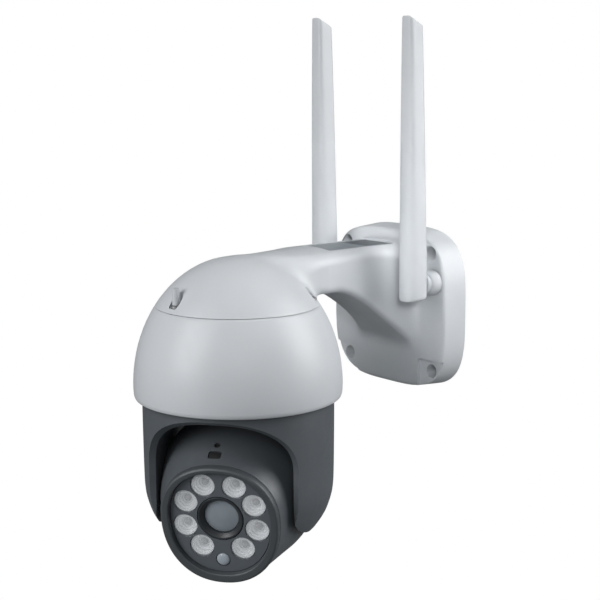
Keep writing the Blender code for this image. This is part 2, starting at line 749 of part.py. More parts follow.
def make_head_top(seat):
    """The rubber plug in the card slot and the reset button beside it."""
    box("card_slot_plug", (-0.0031, -0.0021, -0.0026), (0.0031, 0.0021, -0.0004), "rubber_black", seat)
    button = [
        (0, -0.0008), (0.0012, -0.0009), (0.0014, -0.0012), (0.0014, -0.0045), (0.0024, -0.0045),
        (0.0024, -0.0055), (0, -0.0055),
    ]
    turned("reset_button", button, 16, "rubber_black", seat, closed=False, location=(0, 0.0062, 0))


def make_face(face_frame):
    rings = []
    for radius, grow, depth in (
        (face_radius, 0.0, BEZEL_BACK), (face_radius, 0.0, 0.0385), (face_radius, -0.0004, 0.0395),
        (face_radius, -0.0012, BEZEL_FRONT), (plate_radius, 0.0013, BEZEL_FRONT),
        (plate_radius, 0.0006, 0.0396),
        (plate_radius, GAP, BEZEL_BACK),
    ):
        rings.append([(x, y, depth) for x, y in outline_of(radius, grow)])
    smooth(loft("front_bezel", rings, "shell_grey", face_frame, looped=True), 50)

    led_points = []
    for angle in LED_ANGLES:
        for side in (-1, 1):
            led_points.append((side * LED_CIRCLE * sin(angle), LED_CIRCLE * cos(angle)))
    holes = [circle(0.0122, 24)] + [circle(LED_RADIUS + GAP, 14, point) for point in led_points]
    holes.append(circle(0.0038, 16, (0, SENSOR_V)))
    flat(
        "face_plate", [outline_of(plate_radius, 0.0)] + holes, 0.0020, "panel_grey", face_frame,
        location=(0, 0, PLATE_FRONT - 0.0010),
    )
    led = [
        (0, 0.0383), (0.0034, 0.0379), (0.0054, 0.0373), (LED_RADIUS, 0.0366), (LED_RADIUS, 0.0340),
        (0.0035, 0.0311), (0, 0.0311),
    ]
    for number, (u, v) in enumerate(led_points, 1):
        turned(f"led_lens_{number}", led, 12, "led_clear", face_frame, closed=False, location=(u, v, 0))
    flat(
        "led_board", [outline_of(plate_radius, -0.0008), circle(0.0100, 24)], 0.0014, "board_green",
        face_frame,
        location=(0, 0, 0.0300),
    )
    sensor = [(0, 0.0378), (0.0018, 0.0375), (0.0034, 0.0368), (0.0034, 0.0310), (0, 0.0310)]
    turned("light_sensor", sensor, 16, "lens_glass", face_frame, closed=False, location=(0, SENSOR_V, 0))
    barrel = [
        (0.0117, 0.0372), (0.0118, 0.0368), (0.0118, 0.0320), (0.0094, 0.0312), (0.0094, 0.0160),
        (0.0070, 0.0160),
        (0.0070, 0.0316), (0.0091, 0.0322), (0.0091, 0.0352), (0.0096, 0.0358), (0.0109, 0.0372),
    ]
    turned("lens_barrel", barrel, 18, "panel_grey", face_frame)
    glass = [
        (0, 0.0362), (0.0035, 0.0359), (0.0066, 0.0351), (LENS_RADIUS, 0.0340), (LENS_RADIUS, 0.0326),
        (0, 0.0326),
    ]
    turned("lens_glass", glass, 20, "lens_glass", face_frame, closed=False)
    turned(
        "lens_group", [(0, 0.0312), (0.0050, 0.0306), (0.0066, 0.0296), (0.0066, 0.0190), (0, 0.0190)], 24,
        "lens_glass", face_frame, closed=False,
    )
    box("image_board", (-0.017, -0.017, 0.0140), (0.017, 0.017, 0.0156), "board_green", face_frame)


def make_tilt_drive(face_frame, pan_frame):
    """The right side turns on a hollow hub. The left side turns on a shaft that holds the fixed gear."""
    to_right = (0, pi / 2, 0)
    to_left = (0, -pi / 2, 0)
    yoke_side = empty("tilt_fixed", pan_frame, (0, 0, TILT_AXIS_Z), (pi / 2, 0, 0))
    hub = [
        (0.0076, 0.0410), (0.0076, 0.0324), (0.0110, 0.0324), (0.0110, 0.0306), (0.0052, 0.0306),
        (0.0052, 0.0410),
    ]
    turned("tilt_hub", hub, 24, "acetal", face_frame, rotation=to_right)
    ring("tilt_bush_right", 0.0079, 0.0094, 0.0362, 0.0376, 24, "acetal", yoke_side, rotation=to_right)
    bush = [
        (0.0091, 0.0350), (0.0091, 0.0323), (0.0110, 0.0323), (0.0110, 0.0312), (0.0079, 0.0312),
        (0.0079, 0.0350),
    ]
    turned("tilt_bush_left", bush, 24, "acetal", face_frame, rotation=to_left)
    shaft = [
        (0.0075, 0.0405), (0.0075, 0.0376), (0.0094, 0.0376), (0.0094, 0.0362), (0.0075, 0.0362),
        (0.0075, 0.0311),
        (0.0049, 0.0311), (0.0049, 0.0278), (0.0030, 0.0278), (0.0030, 0.0405),
    ]
    turned("tilt_shaft", shaft, 20, "acetal", yoke_side, rotation=to_left)
    gear_u = -0.0293
    flat(
        "tilt_gear", gear_outline(TILT_TEETH, 0.0052, TILT_MOTOR_ANGLE + TILT_AT_REST), 0.0030, "acetal",
        yoke_side,
        location=(gear_u, 0, 0), rotation=to_right,
    )
    distance = (TILT_TEETH + PINION_TEETH) * MODULE / 2
    up = distance * sin(TILT_MOTOR_ANGLE)
    forward = -distance * cos(TILT_MOTOR_ANGLE)
    flat(
        "tilt_pinion", gear_outline(PINION_TEETH, 0.0013, TILT_MOTOR_ANGLE + pi + pi / PINION_TEETH, 10),
        0.0030,
        "acetal", face_frame, location=(gear_u, up, forward), rotation=to_right,
    )
    motor = [
        (0, 0.0312), (0.0010, 0.0312), (0.0010, 0.0270), (0.0030, 0.0270), (0.0030, 0.0262), (0.0095, 0.0262),
        (0.0095, 0.0126), (0.0090, 0.0120), (0, 0.0120),
    ]
    turned(
        "tilt_motor", motor, 24, "steel", face_frame, closed=False, location=(0, up, forward), rotation=to_left
    )


def build():
    global parts, cutters
    clear_scene()
    parts = new_collection("ptz_camera")
    cutters = new_collection("cutters")
    wall_frame = empty("wall_frame", None, (0, 0, 0), (pi / 2, 0, 0))
    dome_frame = empty("dome_frame", None, (0, DOME_AXIS_Y, RIM_Z))
    pan_frame = empty("pan_axis", dome_frame, (0, 0, 0), (0, 0, PAN_AT_REST))
    face_frame = empty("tilt_axis", pan_frame, (0, 0, TILT_AXIS_Z), (pi / 2 + TILT_AT_REST, 0, 0))
    make_bracket(wall_frame, dome_frame)
    make_wall_side(wall_frame)
    for side, label in ((-1, "antenna_left"), (1, "antenna_right")):
        make_antenna(side, label, wall_frame)
    make_skirt(dome_frame)
    make_dome_inside(dome_frame)
    make_yoke(pan_frame)
    make_pan_drive(dome_frame, pan_frame)
    make_head_top(make_head_shell(face_frame))
    make_face(face_frame)
    make_tilt_drive(face_frame, pan_frame)


build()
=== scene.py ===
"""Visual model of a wall-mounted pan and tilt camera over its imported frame. Metres, +Z up, wall at +Y."""

import json
from math import acos, atan2, cos, hypot, pi, radians, sin, sqrt

import bmesh
import bpy
import numpy as np
from mathutils import Matrix, Vector


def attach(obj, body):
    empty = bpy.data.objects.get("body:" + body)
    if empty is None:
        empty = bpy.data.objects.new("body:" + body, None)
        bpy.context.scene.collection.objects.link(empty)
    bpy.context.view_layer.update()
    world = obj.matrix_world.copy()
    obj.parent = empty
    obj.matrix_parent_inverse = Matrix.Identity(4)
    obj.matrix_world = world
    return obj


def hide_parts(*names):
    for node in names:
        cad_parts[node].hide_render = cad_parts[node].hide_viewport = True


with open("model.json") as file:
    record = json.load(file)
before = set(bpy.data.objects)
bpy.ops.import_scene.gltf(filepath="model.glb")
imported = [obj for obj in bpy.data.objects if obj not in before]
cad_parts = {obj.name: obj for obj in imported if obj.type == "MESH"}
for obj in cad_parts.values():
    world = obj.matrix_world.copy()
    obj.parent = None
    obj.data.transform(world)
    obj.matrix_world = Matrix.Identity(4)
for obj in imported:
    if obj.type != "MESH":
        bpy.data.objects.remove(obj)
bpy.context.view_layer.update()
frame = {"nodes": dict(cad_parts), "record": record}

# Frames
DOME_AXIS_Y = -0.120
RIM_Z = -0.0348
PAN_AT_REST = radians(37.3)
TILT_AT_REST = radians(10.7)
TILT_AXIS_Z = -0.0483
GAP = 0.0003
WALL_FRAME = Matrix.Rotation(pi / 2, 4, "X")
DOME_FRAME = Matrix.Translation((0, DOME_AXIS_Y, RIM_Z))
PAN_FRAME = DOME_FRAME @ Matrix.Rotation(PAN_AT_REST, 4, "Z")
TILT_FRAME = PAN_FRAME @ Matrix.Translation((0, 0, TILT_AXIS_Z))
FACE_FRAME = TILT_FRAME @ Matrix.Rotation(pi / 2 + TILT_AT_REST, 4, "X")

# Dome, heights measured from its rim
DOME_RADIUS = 0.0540
DOME_MIDDLE_Z = 0.0060
DOME_HALF_HEIGHT = 0.0663
SEAM_Z = 0.0473
WALL = 0.0025
SCREW_CIRCLE = 0.0380
SCREW_ANGLES = [radians(a) for a in (-90, 47, 133)]
POCKET_FLOOR_Z = 0.0497
POCKET_RADIUS = 0.0036
BOSS_RADIUS = 0.0054
CAP_HOLE_RADIUS = 0.0018
CAP_LOW_Z = 0.0360

# Wall base
BASE_HALF_X = 0.0456
BASE_HALF_Z = 0.0442
BASE_DEPTH = 0.0152
BASE_POWER = 3.6
BASE_EDGE = 0.0013
HOLE_X = 0.0335
HOLE_Z = 0.0325
HOLE_RADIUS = 0.0024
COUNTERBORE_RADIUS = 0.0038
CORNER_POCKET_X = 0.0245
CORNER_POCKET_Z = -0.0262
CORNER_POCKET_DEPTH = 0.0132
BACK_PLATE = (0.0418, 0.0400, 2.1)
BASE_HOLLOW = (0.0365, 0.0345, 2)
BASE_HOLLOW_DEPTH = 0.0124
PLATE_SCREW_AT = (0.0116, 0.0358)
BACK_PLATE_THICKNESS = 0.0024
RECESS_DEPTH = 0.0039
GROMMET_AT = (0, -0.0200)
GROMMET_HOLE_RADIUS = 0.0068

# Arm, stations measured from the wall
ARM_TOP = 0.0377
ARM_CAMBER = 5.5
ARM_WAIST = 0.0176
ARM_BOTTOM = 0.0151
ARCH_STARTS = 0.0680
HIGH_ROUND = 0.0052
LOW_ROUND = 0.0040
ARM_STARTS = 0.0080
ARM_ENDS = 0.1170
VOXEL = 0.00085
LABEL_FROM_WALL = (0.0220, 0.0690)
LABEL_HALF_WIDTH = 0.0128
LABEL_Z = 0.0362

# Antennas
ANTENNA_X = 0.0360
ANTENNA_FRONT = 0.0370
ANTENNA_HINGE_Z = 0.0172
ANTENNA_FOOT_Z = 0.0092
ANTENNA_TIP_Z = 0.1578
ANTENNA_HALF = 0.0067
ANTENNA_FOOT_ROUND = 0.0021
ANTENNA_TIP_ROUND = 0.0010
ANTENNA_TIP_HALF = (0.0037, 0.0046)
ANTENNA_TIP_LEAN = 0.0048
KNUCKLE_BORE_RADIUS = 0.0050

# Yoke, heights from the rim
YOKE_RADIUS = 0.0496
YOKE_TOP_Z = 0.0030
YOKE_GAP_HALF = 0.0360
ARCH_SPRING_Z = -0.0320
ARCH_TOP_Z = -0.0046
ARCH_LOW_Z = -0.0800
ARCH_POWER = 2.4
LIP_HALF = 0.0392
LIP_TOP_Z = -0.0024
LIP_FLOOR_RADIUS = 0.0460
LIP_EDGE_RADIUS = 0.0497
PAN_BORE_RADIUS = 0.0056
HUB_HOLE_RADIUS = 0.0098
LINER_HOLE_RADIUS = 0.0097
LINER_THICKNESS = 0.0016
LINER_HALF = (0.0208, 0.0248)
LINER_DROP = 0.0042

# Head, measured from the tilt axis
HEAD_RADIUS = 0.0420
HEAD_HALF_WIDTH = 0.0350
HEAD_WALL = 0.0022
TOP_SLOPE_FROM = (0.0180, 0.0380)
BEZEL_BACK = 0.0362
BEZEL_FRONT = 0.0400
PLATE_FRONT = 0.0369
FACE_HALF_WIDTH = 0.0307
FACE_TOP = 0.0293
FACE_BOTTOM = 0.0356
PLATE_HALF_WIDTH = 0.0259
PLATE_TOP = 0.0257
PLATE_BOTTOM = 0.0302
FACE_PLATE_THICKNESS = 0.0020
FACE_POWER = 2.2
FACE_STEPS = 144
LED_CIRCLE = 0.0195
LED_RADIUS = 0.0061
LED_ANGLES = [radians(a) for a in (24.4, 65.2, 106.0, 146.8)]
LED_SEAT = 0.0358
LENS_RADIUS = 0.0088
LENS_CROWN = 0.0362
BARREL_HOLE_RADIUS = 0.0122
SENSOR_RADIUS = 0.0034
SENSOR_HOLE_RADIUS = 0.0038
SENSOR_V = -0.0234
SLOT_U = -0.0026
SLOT_V = 0.0319
SLOT_FORWARD = 0.0303
SLOT_HALF = (0.0034, 0.0024)
BUTTON_FROM_SLOT = 0.0062
BUTTON_HOLE_RADIUS = 0.0017

# Camera, fitted to the photo
CAMERA_AT = (0.58213, -0.55714, 0.14332)
CAMERA_AZIMUTH = radians(50.57)
CAMERA_ELEVATION = radians(10.03)
CAMERA_ROLL = radians(-0.25)
FOCAL_LENGTH = 86.58
MIDDLE = Vector((0, -0.09, 0.0))
FLOOR_Z = -0.22


# Materials


def new_material(name):
    made = bpy.data.materials.new(name)
    made.use_nodes = True
    return made, made.node_tree.nodes, made.node_tree.links


def noise(nodes, links, source, scale, detail=2.0):
    made = nodes.new("ShaderNodeTexNoise")
    made.inputs["Scale"].default_value = scale
    made.inputs["Detail"].default_value = detail
    links.new(source, made.inputs["Vector"])
    return made.outputs["Fac"]


def spread(nodes, links, source, low, high, from_low=0.3, from_high=0.7):
    made = nodes.new("ShaderNodeMapRange")
    made.inputs["From Min"].default_value = from_low
    made.inputs["From Max"].default_value = from_high
    made.inputs["To Min"].default_value = low
    made.inputs["To Max"].default_value = high
    links.new(source, made.inputs["Value"])
    return made.outputs["Result"]


def blend_colours(nodes, links, factor, first, second):
    """A colour between first and second, each a colour or a socket."""
    made = nodes.new("ShaderNodeMix")
    made.data_type = "RGBA"
    links.new(factor, made.inputs["Factor"])
    for socket, colour in ((made.inputs[6], first), (made.inputs[7], second)):
        if isinstance(colour, tuple):
            socket.default_value = (*colour, 1)
        else:
            links.new(colour, socket)
    return made.outputs[2]


def shade(colour, factor):
    return tuple(c * factor for c in colour)


def surface(
    name, colour, roughness, grain=2600, bump=0.05, grain_depth=0.00004, vary=0.04, wear=0.25, metallic=0.0
):
    """Moulded or machined finish: fine grain, uneven gloss and colour, and paler worn edges."""
    made, nodes, links = new_material(name)
    shader = nodes["Principled BSDF"]
    where = nodes.new("ShaderNodeTexCoord").outputs["Object"]
    fine = noise(nodes, links, where, grain, 3.0)
    cloud = noise(nodes, links, where, 45, 4.0)
    smudge = noise(nodes, links, where, 240, 3.0)
    tone = blend_colours(
        nodes, links, spread(nodes, links, cloud, 0.0, 1.0), shade(colour, 1 - vary), shade(colour, 1 + vary)
    )
    sharpness = nodes.new("ShaderNodeNewGeometry").outputs["Pointiness"]
    edge = spread(nodes, links, sharpness, 0.0, wear, 0.53, 0.62)
    pale = tuple(min(1.0, c * 1.25 + 0.02) for c in colour)
    links.new(blend_colours(nodes, links, edge, tone, pale), shader.inputs["Base Color"])
    links.new(
        spread(nodes, links, smudge, roughness - 0.05, roughness + 0.05), shader.inputs["Roughness"]
    )
    relief = nodes.new("ShaderNodeBump")
    relief.inputs["Strength"].default_value = bump
    relief.inputs["Distance"].default_value = grain_depth
    links.new(fine, relief.inputs["Height"])
    links.new(relief.outputs["Normal"], shader.inputs["Normal"])
    shader.inputs["Metallic"].default_value = metallic
    return made


def clear_surface(name, colour, roughness, alpha, ior=1.45):
    made = surface(name, colour, roughness + 0.05, 900, 0.01, 0.00001, 0.03, 0.0)
    shader = made.node_tree.nodes["Principled BSDF"]
    shader.inputs["Alpha"].default_value = alpha
    shader.inputs["IOR"].default_value = ior
    return made


def label_surface(name):
    """A blank grey data plate with a darker panel toward the wall."""
    made = surface(name, (0.23, 0.26, 0.28), 0.42, 1800, 0.04, 0.00003, 0.05, 0.1)
    nodes = made.node_tree.nodes
    links = made.node_tree.links
    shader = nodes["Principled BSDF"]
    under = shader.inputs["Base Color"].links[0].from_socket
    where = nodes.new("ShaderNodeTexCoord").outputs["Object"]
    split = nodes.new("ShaderNodeSeparateXYZ")
    links.new(where, split.inputs[0])
    mask = None
    blur = 0.0004
    for axis, low, high in (("X", -0.0095, 0.0095), ("Y", -0.0400, -0.0235)):
        for edge, before, after in ((low, 0, 1), (high, 1, 0)):
            along = split.outputs[axis]
            step = spread(nodes, links, along, before, after, edge - blur, edge + blur)
            if mask is None:
                mask = step
                continue
            both = nodes.new("ShaderNodeMath")
            both.operation = "MULTIPLY"
            links.new(mask, both.inputs[0])
            links.new(step, both.inputs[1])
            mask = both.outputs[0]
    links.new(blend_colours(nodes, links, mask, under, (0.085, 0.098, 0.110)), shader.inputs["Base Color"])
    return made


FINISHES = {
    "shell_white": surface("moulded_white", (0.57, 0.592, 0.615), 0.40, bump=0.10, vary=0.015, wear=0.18),
    "shell_grey": surface("moulded_slate", (0.088, 0.099, 0.109), 0.42, bump=0.10, vary=0.05, wear=0.15),
    "panel_grey": surface("panel_slate", (0.100, 0.113, 0.126), 0.34, bump=0.05, vary=0.04, wear=0.1),
    "lens_glass": clear_surface("coated_glass", (0.42, 0.48, 0.53), 0.06, 0.44, 1.52),
    "led_clear": clear_surface("clear_epoxy", (0.95, 0.97, 0.99), 0.04, 0.20),
    "rubber_black": surface("rubber", (0.007, 0.0075, 0.008), 0.72, 1500, 0.25, vary=0.15, wear=0.1),
    "steel": surface("zinc_steel", (0.36, 0.37, 0.38), 0.30, 1200, 0.10, vary=0.05, wear=0.2, metallic=1.0),
    "board_green": surface("board", (0.02, 0.13, 0.06), 0.45, 800, 0.20, vary=0.20, wear=0.0),
    "acetal": surface("acetal", (0.70, 0.70, 0.66), 0.42, 1500, 0.08, vary=0.03, wear=0.1),
    "label_grey": label_surface("data_label"),
}
REFLECTOR = surface("led_reflector", (0.96, 0.98, 1.0), 0.20, 900, 0.05, vary=0.05, wear=0.0, metallic=0.25)
LAMP_BEAD = surface("led_chip", (0.30, 0.31, 0.32), 0.40, 600, 0.05, vary=0.10, wear=0.0)
# Painted shade: a darker copy of the moulded slate for the front bezel, which faces away from the lights
SHADED_BEZEL_SLATE = surface("bezel_slate_painted_shade", (0.062, 0.070, 0.077), 0.46, bump=0.10, vary=0.05, wear=0.12)
DARK_ZINC = surface("dark_zinc", (0.20, 0.205, 0.21), 0.50, 1200, 0.10, vary=0.05, wear=0.2, metallic=0.8)
BARREL_BLACK = surface("barrel_black", (0.026, 0.030, 0.034), 0.42, 1600, 0.06, vary=0.08, wear=0.1)
SENSOR_GLASS = clear_surface("sensor_glass", (0.42, 0.47, 0.52), 0.08, 0.9, 1.5)
LENS_INNER = surface("lens_inner", (0.21, 0.24, 0.26), 0.25, 900, 0.05, vary=0.1, wear=0.0)


# Mesh helpers


def smooth(obj, degrees=32):
    obj.data.shade_smooth()
    obj.data.set_sharp_from_angle(angle=radians(degrees))
    return obj


def add(name, bm, finish, matrix):
    mesh = bpy.data.meshes.new(name)
    bmesh.ops.recalc_face_normals(bm, faces=bm.faces)
    bm.to_mesh(mesh)
    bm.free()
    obj = bpy.data.objects.new(name, mesh)
    obj.matrix_world = matrix
    bpy.context.scene.collection.objects.link(obj)
    if finish:
        mesh.materials.append(FINISHES.get(finish) if isinstance(finish, str) else finish)
    return obj


def skin(bm, rings, looped=False, closed=False):
    rows = [[bm.verts.new(p) for p in one] for one in rings]
    pairs = list(zip(rows, rows[1:]))
    if looped:
        pairs.append((rows[-1], rows[0]))
    elif closed:
        bm.faces.new(rows[0])
        bm.faces.new(rows[-1])
    for first, second in pairs:
        for k in range(len(first)):
            after = (k + 1) % len(first)
            bm.faces.new((first[k], first[after], second[after], second[k]))


def loft(name, rings, finish, matrix, looped=False):
    bm = bmesh.new()
    skin(bm, rings, looped, closed=not looped)
    return add(name, bm, finish, matrix)


def turned(name, profile, steps, finish, matrix, looped=False):
    """A profile of (radius, height) turned about Z: looped for a ring, or capped where it meets the axis."""
    bm = bmesh.new()
    turn_into(bm, profile, steps, looped)
    return add(name, bm, finish, matrix)


def turn_into(bm, profile, steps, looped=False, centre=(0, 0)):
    rows = []
    for radius, height in profile:
        if radius < 1e-7:
            rows.append([bm.verts.new((*centre, height))])
            continue
        row = []
        for k in range(steps):
            a = 2 * pi * k / steps
            row.append(bm.verts.new((centre[0] + radius * cos(a), centre[1] + radius * sin(a), height)))
        rows.append(row)
    pairs = list(zip(rows, rows[1:]))
    if looped:
        pairs.append((rows[-1], rows[0]))
    for first, second in pairs:
        for k in range(steps):
            after = (k + 1) % steps
            if len(first) == 1 and len(second) == 1:
                continue
            if len(first) == 1:
                bm.faces.new((first[0], second[after], second[k]))
            elif len(second) == 1:
                bm.faces.new((first[k], first[after], second[0]))
            else:
                bm.faces.new((first[k], first[after], second[after], second[k]))


def rounded(points, radius, steps=4, looped=False):
    """The polyline with each corner replaced by a short arc. radius is one number, or one for each point."""
    count = len(points)
    radii = radius if isinstance(radius, (list, tuple)) else [radius] * count
    made = []
    for k, point in enumerate(points):
        if not looped and k in (0, count - 1):
            made.append(point)
            continue
        before = points[k - 1]
        after = points[(k + 1) % count]
        back = hypot(before[0] - point[0], before[1] - point[1])
        on = hypot(after[0] - point[0], after[1] - point[1])
        reach = min(radii[k], 0.45 * back, 0.45 * on)
        if reach < 1e-6:
            made.append(point)
            continue
        start = [point[i] + (before[i] - point[i]) * reach / back for i in (0, 1)]
        end = [point[i] + (after[i] - point[i]) * reach / on for i in (0, 1)]
        for j in range(steps + 1):
            t = j / steps
            made.append(
                tuple((1 - t) ** 2 * start[i] + 2 * t * (1 - t) * point[i] + t * t * end[i] for i in (0, 1))
            )
    return made


def bake(obj):
    graph = bpy.context.evaluated_depsgraph_get()
    mesh = bpy.data.meshes.new_from_object(obj.evaluated_get(graph))
    old = obj.data
    obj.modifiers.clear()
    obj.data = mesh
    bpy.data.meshes.remove(old)


def cut(obj, cutters, operation="DIFFERENCE"):
    """Applies each cutter and removes it."""
    for cutter in cutters:
        boolean = obj.modifiers.new("cut", "BOOLEAN")
        boolean.operation = operation
        boolean.object = cutter
        boolean.solver = "EXACT"
        bake(obj)
        bpy.data.objects.remove(cutter, do_unlink=True)
    return obj


def bevelled(obj, width):
    bevel = obj.modifiers.new("edges", "BEVEL")
    bevel.width = width
    bevel.segments = 3
    bevel.limit_method = "ANGLE"
    bevel.angle_limit = radians(40)
    bevel.use_clamp_overlap = True
    bake(obj)
    return obj


def box(low, high, matrix):
    bm = bmesh.new()
    bmesh.ops.create_cube(bm, size=1)
    bmesh.ops.scale(bm, verts=bm.verts, vec=[b - a for a, b in zip(low, high)])
    bmesh.ops.translate(bm, verts=bm.verts, vec=[(a + b) / 2 for a, b in zip(low, high)])
    return add("cutter", bm, None, matrix)


def rod(radius, low, high, matrix, steps=48, centre=(0, 0)):
    bm = bmesh.new()
    turn_into(bm, [(0, high), (radius, high), (radius, low), (0, low)], steps, centre=centre)
    return add("cutter", bm, None, matrix)


def posts(radius, low, high, matrix, steps=40):
    """Three cylinders round the dome's axis as one cutter."""
    bm = bmesh.new()
    for a in SCREW_ANGLES:
        centre = (SCREW_CIRCLE * cos(a), SCREW_CIRCLE * sin(a))
        turn_into(bm, [(0, high), (radius, high), (radius, low), (0, low)], steps, centre=centre)
    return add("cutter", bm, None, matrix)


def circle(radius, steps, centre=(0, 0)):
    angles = [2 * pi * k / steps for k in range(steps)]
    return [(centre[0] + radius * cos(a), centre[1] + radius * sin(a)) for a in angles]


def superellipse(half_x, half_y, power, steps):
    points = []
    for k in range(steps):
        c = cos(2 * pi * k / steps)
        s = sin(2 * pi * k / steps)
        scale = (abs(c / half_x) ** power + abs(s / half_y) ** power) ** (-1 / power)
        points.append((scale * c, scale * s))
    return points


def flat(name, outlines, thickness, finish, matrix):
    """A flat plate with holes, its middle at z = 0."""
    curve = bpy.data.curves.new(name, "CURVE")
    curve.dimensions = "2D"
    curve.fill_mode = "BOTH"
    curve.extrude = thickness / 2
    for outline in outlines:
        spline = curve.splines.new("POLY")
        spline.points.add(len(outline) - 1)
        for point, (x, y) in zip(spline.points, outline):
            point.co = (x, y, 0, 1)
        spline.use_cyclic_u = True
    source = bpy.data.objects.new(name, curve)
    bpy.context.scene.collection.objects.link(source)
    graph = bpy.context.evaluated_depsgraph_get()
    mesh = bpy.data.meshes.new_from_object(source.evaluated_get(graph))
    bpy.data.objects.remove(source, do_unlink=True)
    bpy.data.curves.remove(curve)
    bm = bmesh.new()
    bm.from_mesh(mesh)
    bmesh.ops.remove_doubles(bm, verts=bm.verts, dist=1e-6)
    bpy.data.meshes.remove(mesh)
    return add(name, bm, finish, matrix)


def settle(obj, body):
    """Turns the mesh itself into its place, then lets the piece ride its body."""
    obj.data.transform(obj.matrix_world)
    obj.matrix_world = Matrix.Identity(4)
    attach(obj, body)
    return obj


def stands_for(obj, body, slot, *nodes):
    settle(obj, body)
    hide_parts(*nodes)
    return obj


def dome_profile(top, low, count, inset=0.0):
    """Points (radius, z) down the dome's side, from the crown when top is None."""
    half = DOME_HALF_HEIGHT - inset
    ends = []
    for z in (top, low):
        level = 1.0 if z is None else (z - DOME_MIDDLE_Z) / half
        ends.append(atan2(level, sqrt(1 - level * level)))
    angles = [ends[0] + (ends[1] - ends[0]) * k / (count - 1) for k in range(count)]
    points = [((DOME_RADIUS - inset) * cos(a), DOME_MIDDLE_Z + half * sin(a)) for a in angles]
    if top is None:
        points[0] = (0, points[0][1])
    return points


# Bracket


def smoothstep(x, low, high):
    t = np.clip((x - low) / (high - low), 0, 1)
    return t * t * (3 - 2 * t)


def dome_distance(p):
    """Signed distance to the dome's ellipsoid, true near its surface."""
    axes = np.array([DOME_RADIUS, DOME_RADIUS, DOME_HALF_HEIGHT])
    q = p - np.array([0, DOME_AXIS_Y, RIM_Z + DOME_MIDDLE_Z])
    first = np.linalg.norm(q / axes, axis=1)
    second = np.linalg.norm(q / axes**2, axis=1)
    return first * (first - 1) / np.maximum(second, 1e-9)


def arm_limits(s):
    """The arm's top, bottom, half width, top corner radius and camber at distances from the wall."""
    sink = smoothstep(s, 0.080, 0.112)
    top = ARM_TOP - GAP * smoothstep(s, 0.090, 0.116)
    bottom = ARM_BOTTOM - 3.206 * np.maximum(0, ARCH_STARTS - s) ** 1.54
    waist = ARM_WAIST + 0.0030 * np.clip((s - 0.036) / 0.040, 0, 1)
    half = waist + 0.0062 * (np.maximum(0, 0.034 - s) / 0.020) ** 1.8
    corner = HIGH_ROUND + 0.0105 * sink + 0.0030 * (1 - smoothstep(s, 0.018, 0.045))
    return top, bottom, half, corner, ARM_CAMBER + 8.5 * smoothstep(s, 0.072, 0.104)


def arm_outline(s, inset, steps=8):
    """A true ring across the arm, as (x, z)."""
    top, bottom, half, corner, camber = (float(v[0]) for v in arm_limits(np.array([s])))
    top, bottom, half = top - inset, bottom + inset, half - inset
    high = max(0.001, corner - inset)
    low = max(0.001, LOW_ROUND - inset)
    corners = (
        (half - high, top - high, high), (-half + high, top - high, high),
        (-half + low, bottom + low, low), (half - low, bottom + low, low),
    )
    ring = []
    for quarter, (x, z, radius) in enumerate(corners):
        for k in range(steps + 1):
            a = pi / 2 * (quarter + k / steps)
            ring.append((x + radius * cos(a), z + radius * sin(a)))
        if quarter == 0:
            ring += [(x * (1 - k / 4), top) for k in range(1, 8)]
    middle = (top + bottom) / 2
    return [(x, z - camber * x * x if z > middle else z) for x, z in ring]


def arm_distance(p):
    s = -p[:, 1]
    top, bottom, half, corner, camber = arm_limits(np.maximum(s, 0.012))
    upper = p[:, 2] > (top + bottom) / 2
    level = p[:, 2] + np.where(upper, camber * p[:, 0] ** 2, 0)
    radius = np.minimum(np.where(upper, corner, LOW_ROUND), half)
    qx = np.abs(p[:, 0]) - half + radius
    qz = np.where(upper, level - top, bottom - level) + radius
    inside = np.minimum(np.maximum(qx, qz), 0)
    section = inside + np.hypot(np.maximum(qx, 0), np.maximum(qz, 0)) - radius
    return np.maximum(section, np.maximum(0.006 - s, s - 0.118))


def base_distance(p):
    x = np.abs(p[:, 0]) / BASE_HALF_X
    z = np.abs(p[:, 2]) / BASE_HALF_Z
    n = BASE_POWER
    level = (x**n + z**n) ** (1 / n)
    safe = np.maximum(level, 1e-6)
    slope = np.hypot((x / safe) ** (n - 1) / BASE_HALF_X, (z / safe) ** (n - 1) / BASE_HALF_Z)
    draft = 0.0011 * np.clip(-p[:, 1] / BASE_DEPTH, 0, 1)
    side = (level - 1) / np.maximum(slope, 1.0) + BASE_EDGE + draft
    front = -p[:, 1] - BASE_DEPTH + BASE_EDGE
    rounding = np.minimum(np.maximum(side, front), 0) + np.hypot(np.maximum(side, 0), np.maximum(front, 0))
    return np.maximum(rounding - BASE_EDGE, p[:, 1] - 0.003)


def blended(first, second, reach):
    """The smaller distance, filled out where both are close."""
    near = np.maximum(reach - np.abs(first - second), 0) / reach
    return np.minimum(first, second) - near**2 * reach / 4


def bracket_distance(p):
    beside = 1 - smoothstep(-p[:, 1], 0.084, 0.104)
    crown = 0.0018 + 0.0062 * beside * smoothstep(p[:, 2], 0.022, 0.032)
    return blended(blended(dome_distance(p), arm_distance(p), crown), base_distance(p), 0.0030)


def project(points, distance):
    """Moves the points onto the surface where the distance is zero."""
    step = 1e-5
    for _ in range(4):
        value = distance(points)
        slope = np.stack(
            [
                (distance(points + step * axis) - distance(points - step * axis)) / (2 * step)
                for axis in np.eye(3)
            ],
            1,
        )
        square = np.maximum((slope**2).sum(1), 0.25)
        move = -(value / square)[:, None] * slope
        size = np.linalg.norm(move, axis=1, keepdims=True)
        points = points + move * np.minimum(1, 0.0006 / np.maximum(size, 1e-9))
    return points


